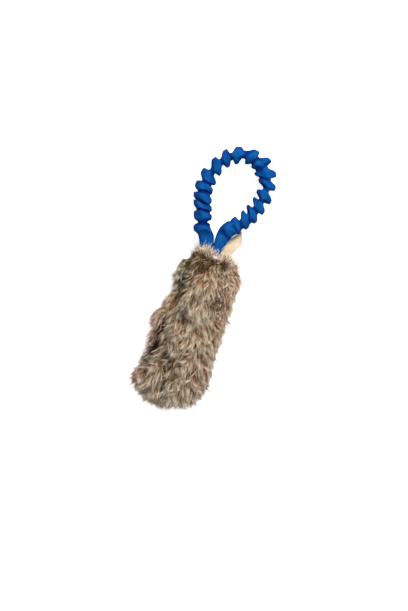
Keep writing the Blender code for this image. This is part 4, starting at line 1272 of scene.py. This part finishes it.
# Bare rim of the skin at the mouth, in mm: its middle line lies on the mouth's oval.
rim = {
    "y": 97.0, "skinY": 96.4, "outset": 0.2, "waver": 0.5,
    "radius": 1.1, "depth": 1.6,    # depth is how much thicker it is along the body
    "puckers": (31.0, 0.15),        # round the mouth, and their share of the radius
    "rings": 96, "sides": 10,
}
# Thread that binds the rim, one slanting turn after another.
whipping = {
    "turns": 44, "steps": 8, "outset": 1.45, "depth": 2.1,
    "gap": 0.9, "length": 1.3, "thickness": 0.45,
}


def rimPoint(angle):
    place, outward = skinPoint(rim["skinY"], angle)
    place.y = rim["y"] + rim["waver"] * math.sin(3.0 * angle)
    return place + outward * rim["outset"]


def rimFrame(angle):  # a point on the rim's middle line, and the way out from it
    along = (rimPoint(angle + 0.02) - rimPoint(angle - 0.02)).normalized()
    return rimPoint(angle), along.cross(toMouth).normalized()


def addRim():
    rings, sides, radius = rim["rings"], rim["sides"], rim["radius"]
    puckers, high = rim["puckers"]
    vertices = []
    for ring in range(rings):
        angle = fullTurn * ring / rings
        middle, out = rimFrame(angle)
        width = 1.0 + high * math.sin(angle * puckers)
        for side in range(sides):
            turn = fullTurn * side / sides
            wide = out * math.cos(turn) * radius * width
            vertices.append((middle + wide + toMouth * rim["depth"] * math.sin(turn) * radius) * mm)
    faces = tubeFaces(rings, sides)
    last = (rings - 1) * sides
    for side in range(sides):
        after = (side + 1) % sides
        faces.append((last + side, side, after, last + after))
    return newPiece("peltRim", vertices, faces, leather)


def whippingRow():
    row = []
    count = whipping["turns"] * whipping["steps"]
    for step in range(count + 1):
        share = step / count
        middle, out = rimFrame(fullTurn * share)
        turn = fullTurn * whipping["turns"] * share
        wide = out * math.cos(turn) * whipping["outset"]
        row.append((middle + wide + toMouth * whipping["depth"] * math.sin(turn)) * mm)
    return row


rimPiece = addRim()
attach(rimPiece, "tug_body")
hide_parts("pelt_hide")
whippingPiece = sew("rimWhipping", [whippingRow()], whipping, paleThread)
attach(whippingPiece, "tug_body")
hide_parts("mouth_seam_thread")
print("rim")
under = addPelt()
furTree = hairTree()
furPieces = [under]
for coat, settings in coats.items():
    for number, (low, high) in enumerate(zip(settings["cuts"], settings["cuts"][1:]), 1):
        furPieces.append(addHair(f"{coat}{number}", under, furTree, settings, low, high))
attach(under, "tug_body")
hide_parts("fur_coat")
for piece in furPieces:
    print(piece.name, sum(len(p.vertices) - 2 for p in piece.data.polygons), "triangles")


# CAD pieces that stay, in their own finishes
nodeFinishes = {
    "stuffing": fibre, "core_strap": webbing, "side_seam_thread": paleThread,
    "left_neck_tack": paleThread, "right_neck_tack": paleThread, "label_stitch": paleThread,
    "left_tail_root": jerseyCloth, "right_tail_root": jerseyCloth,
}
for name, finish in nodeFinishes.items():
    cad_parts[name].data.materials.clear()
    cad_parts[name].data.materials.append(finish)
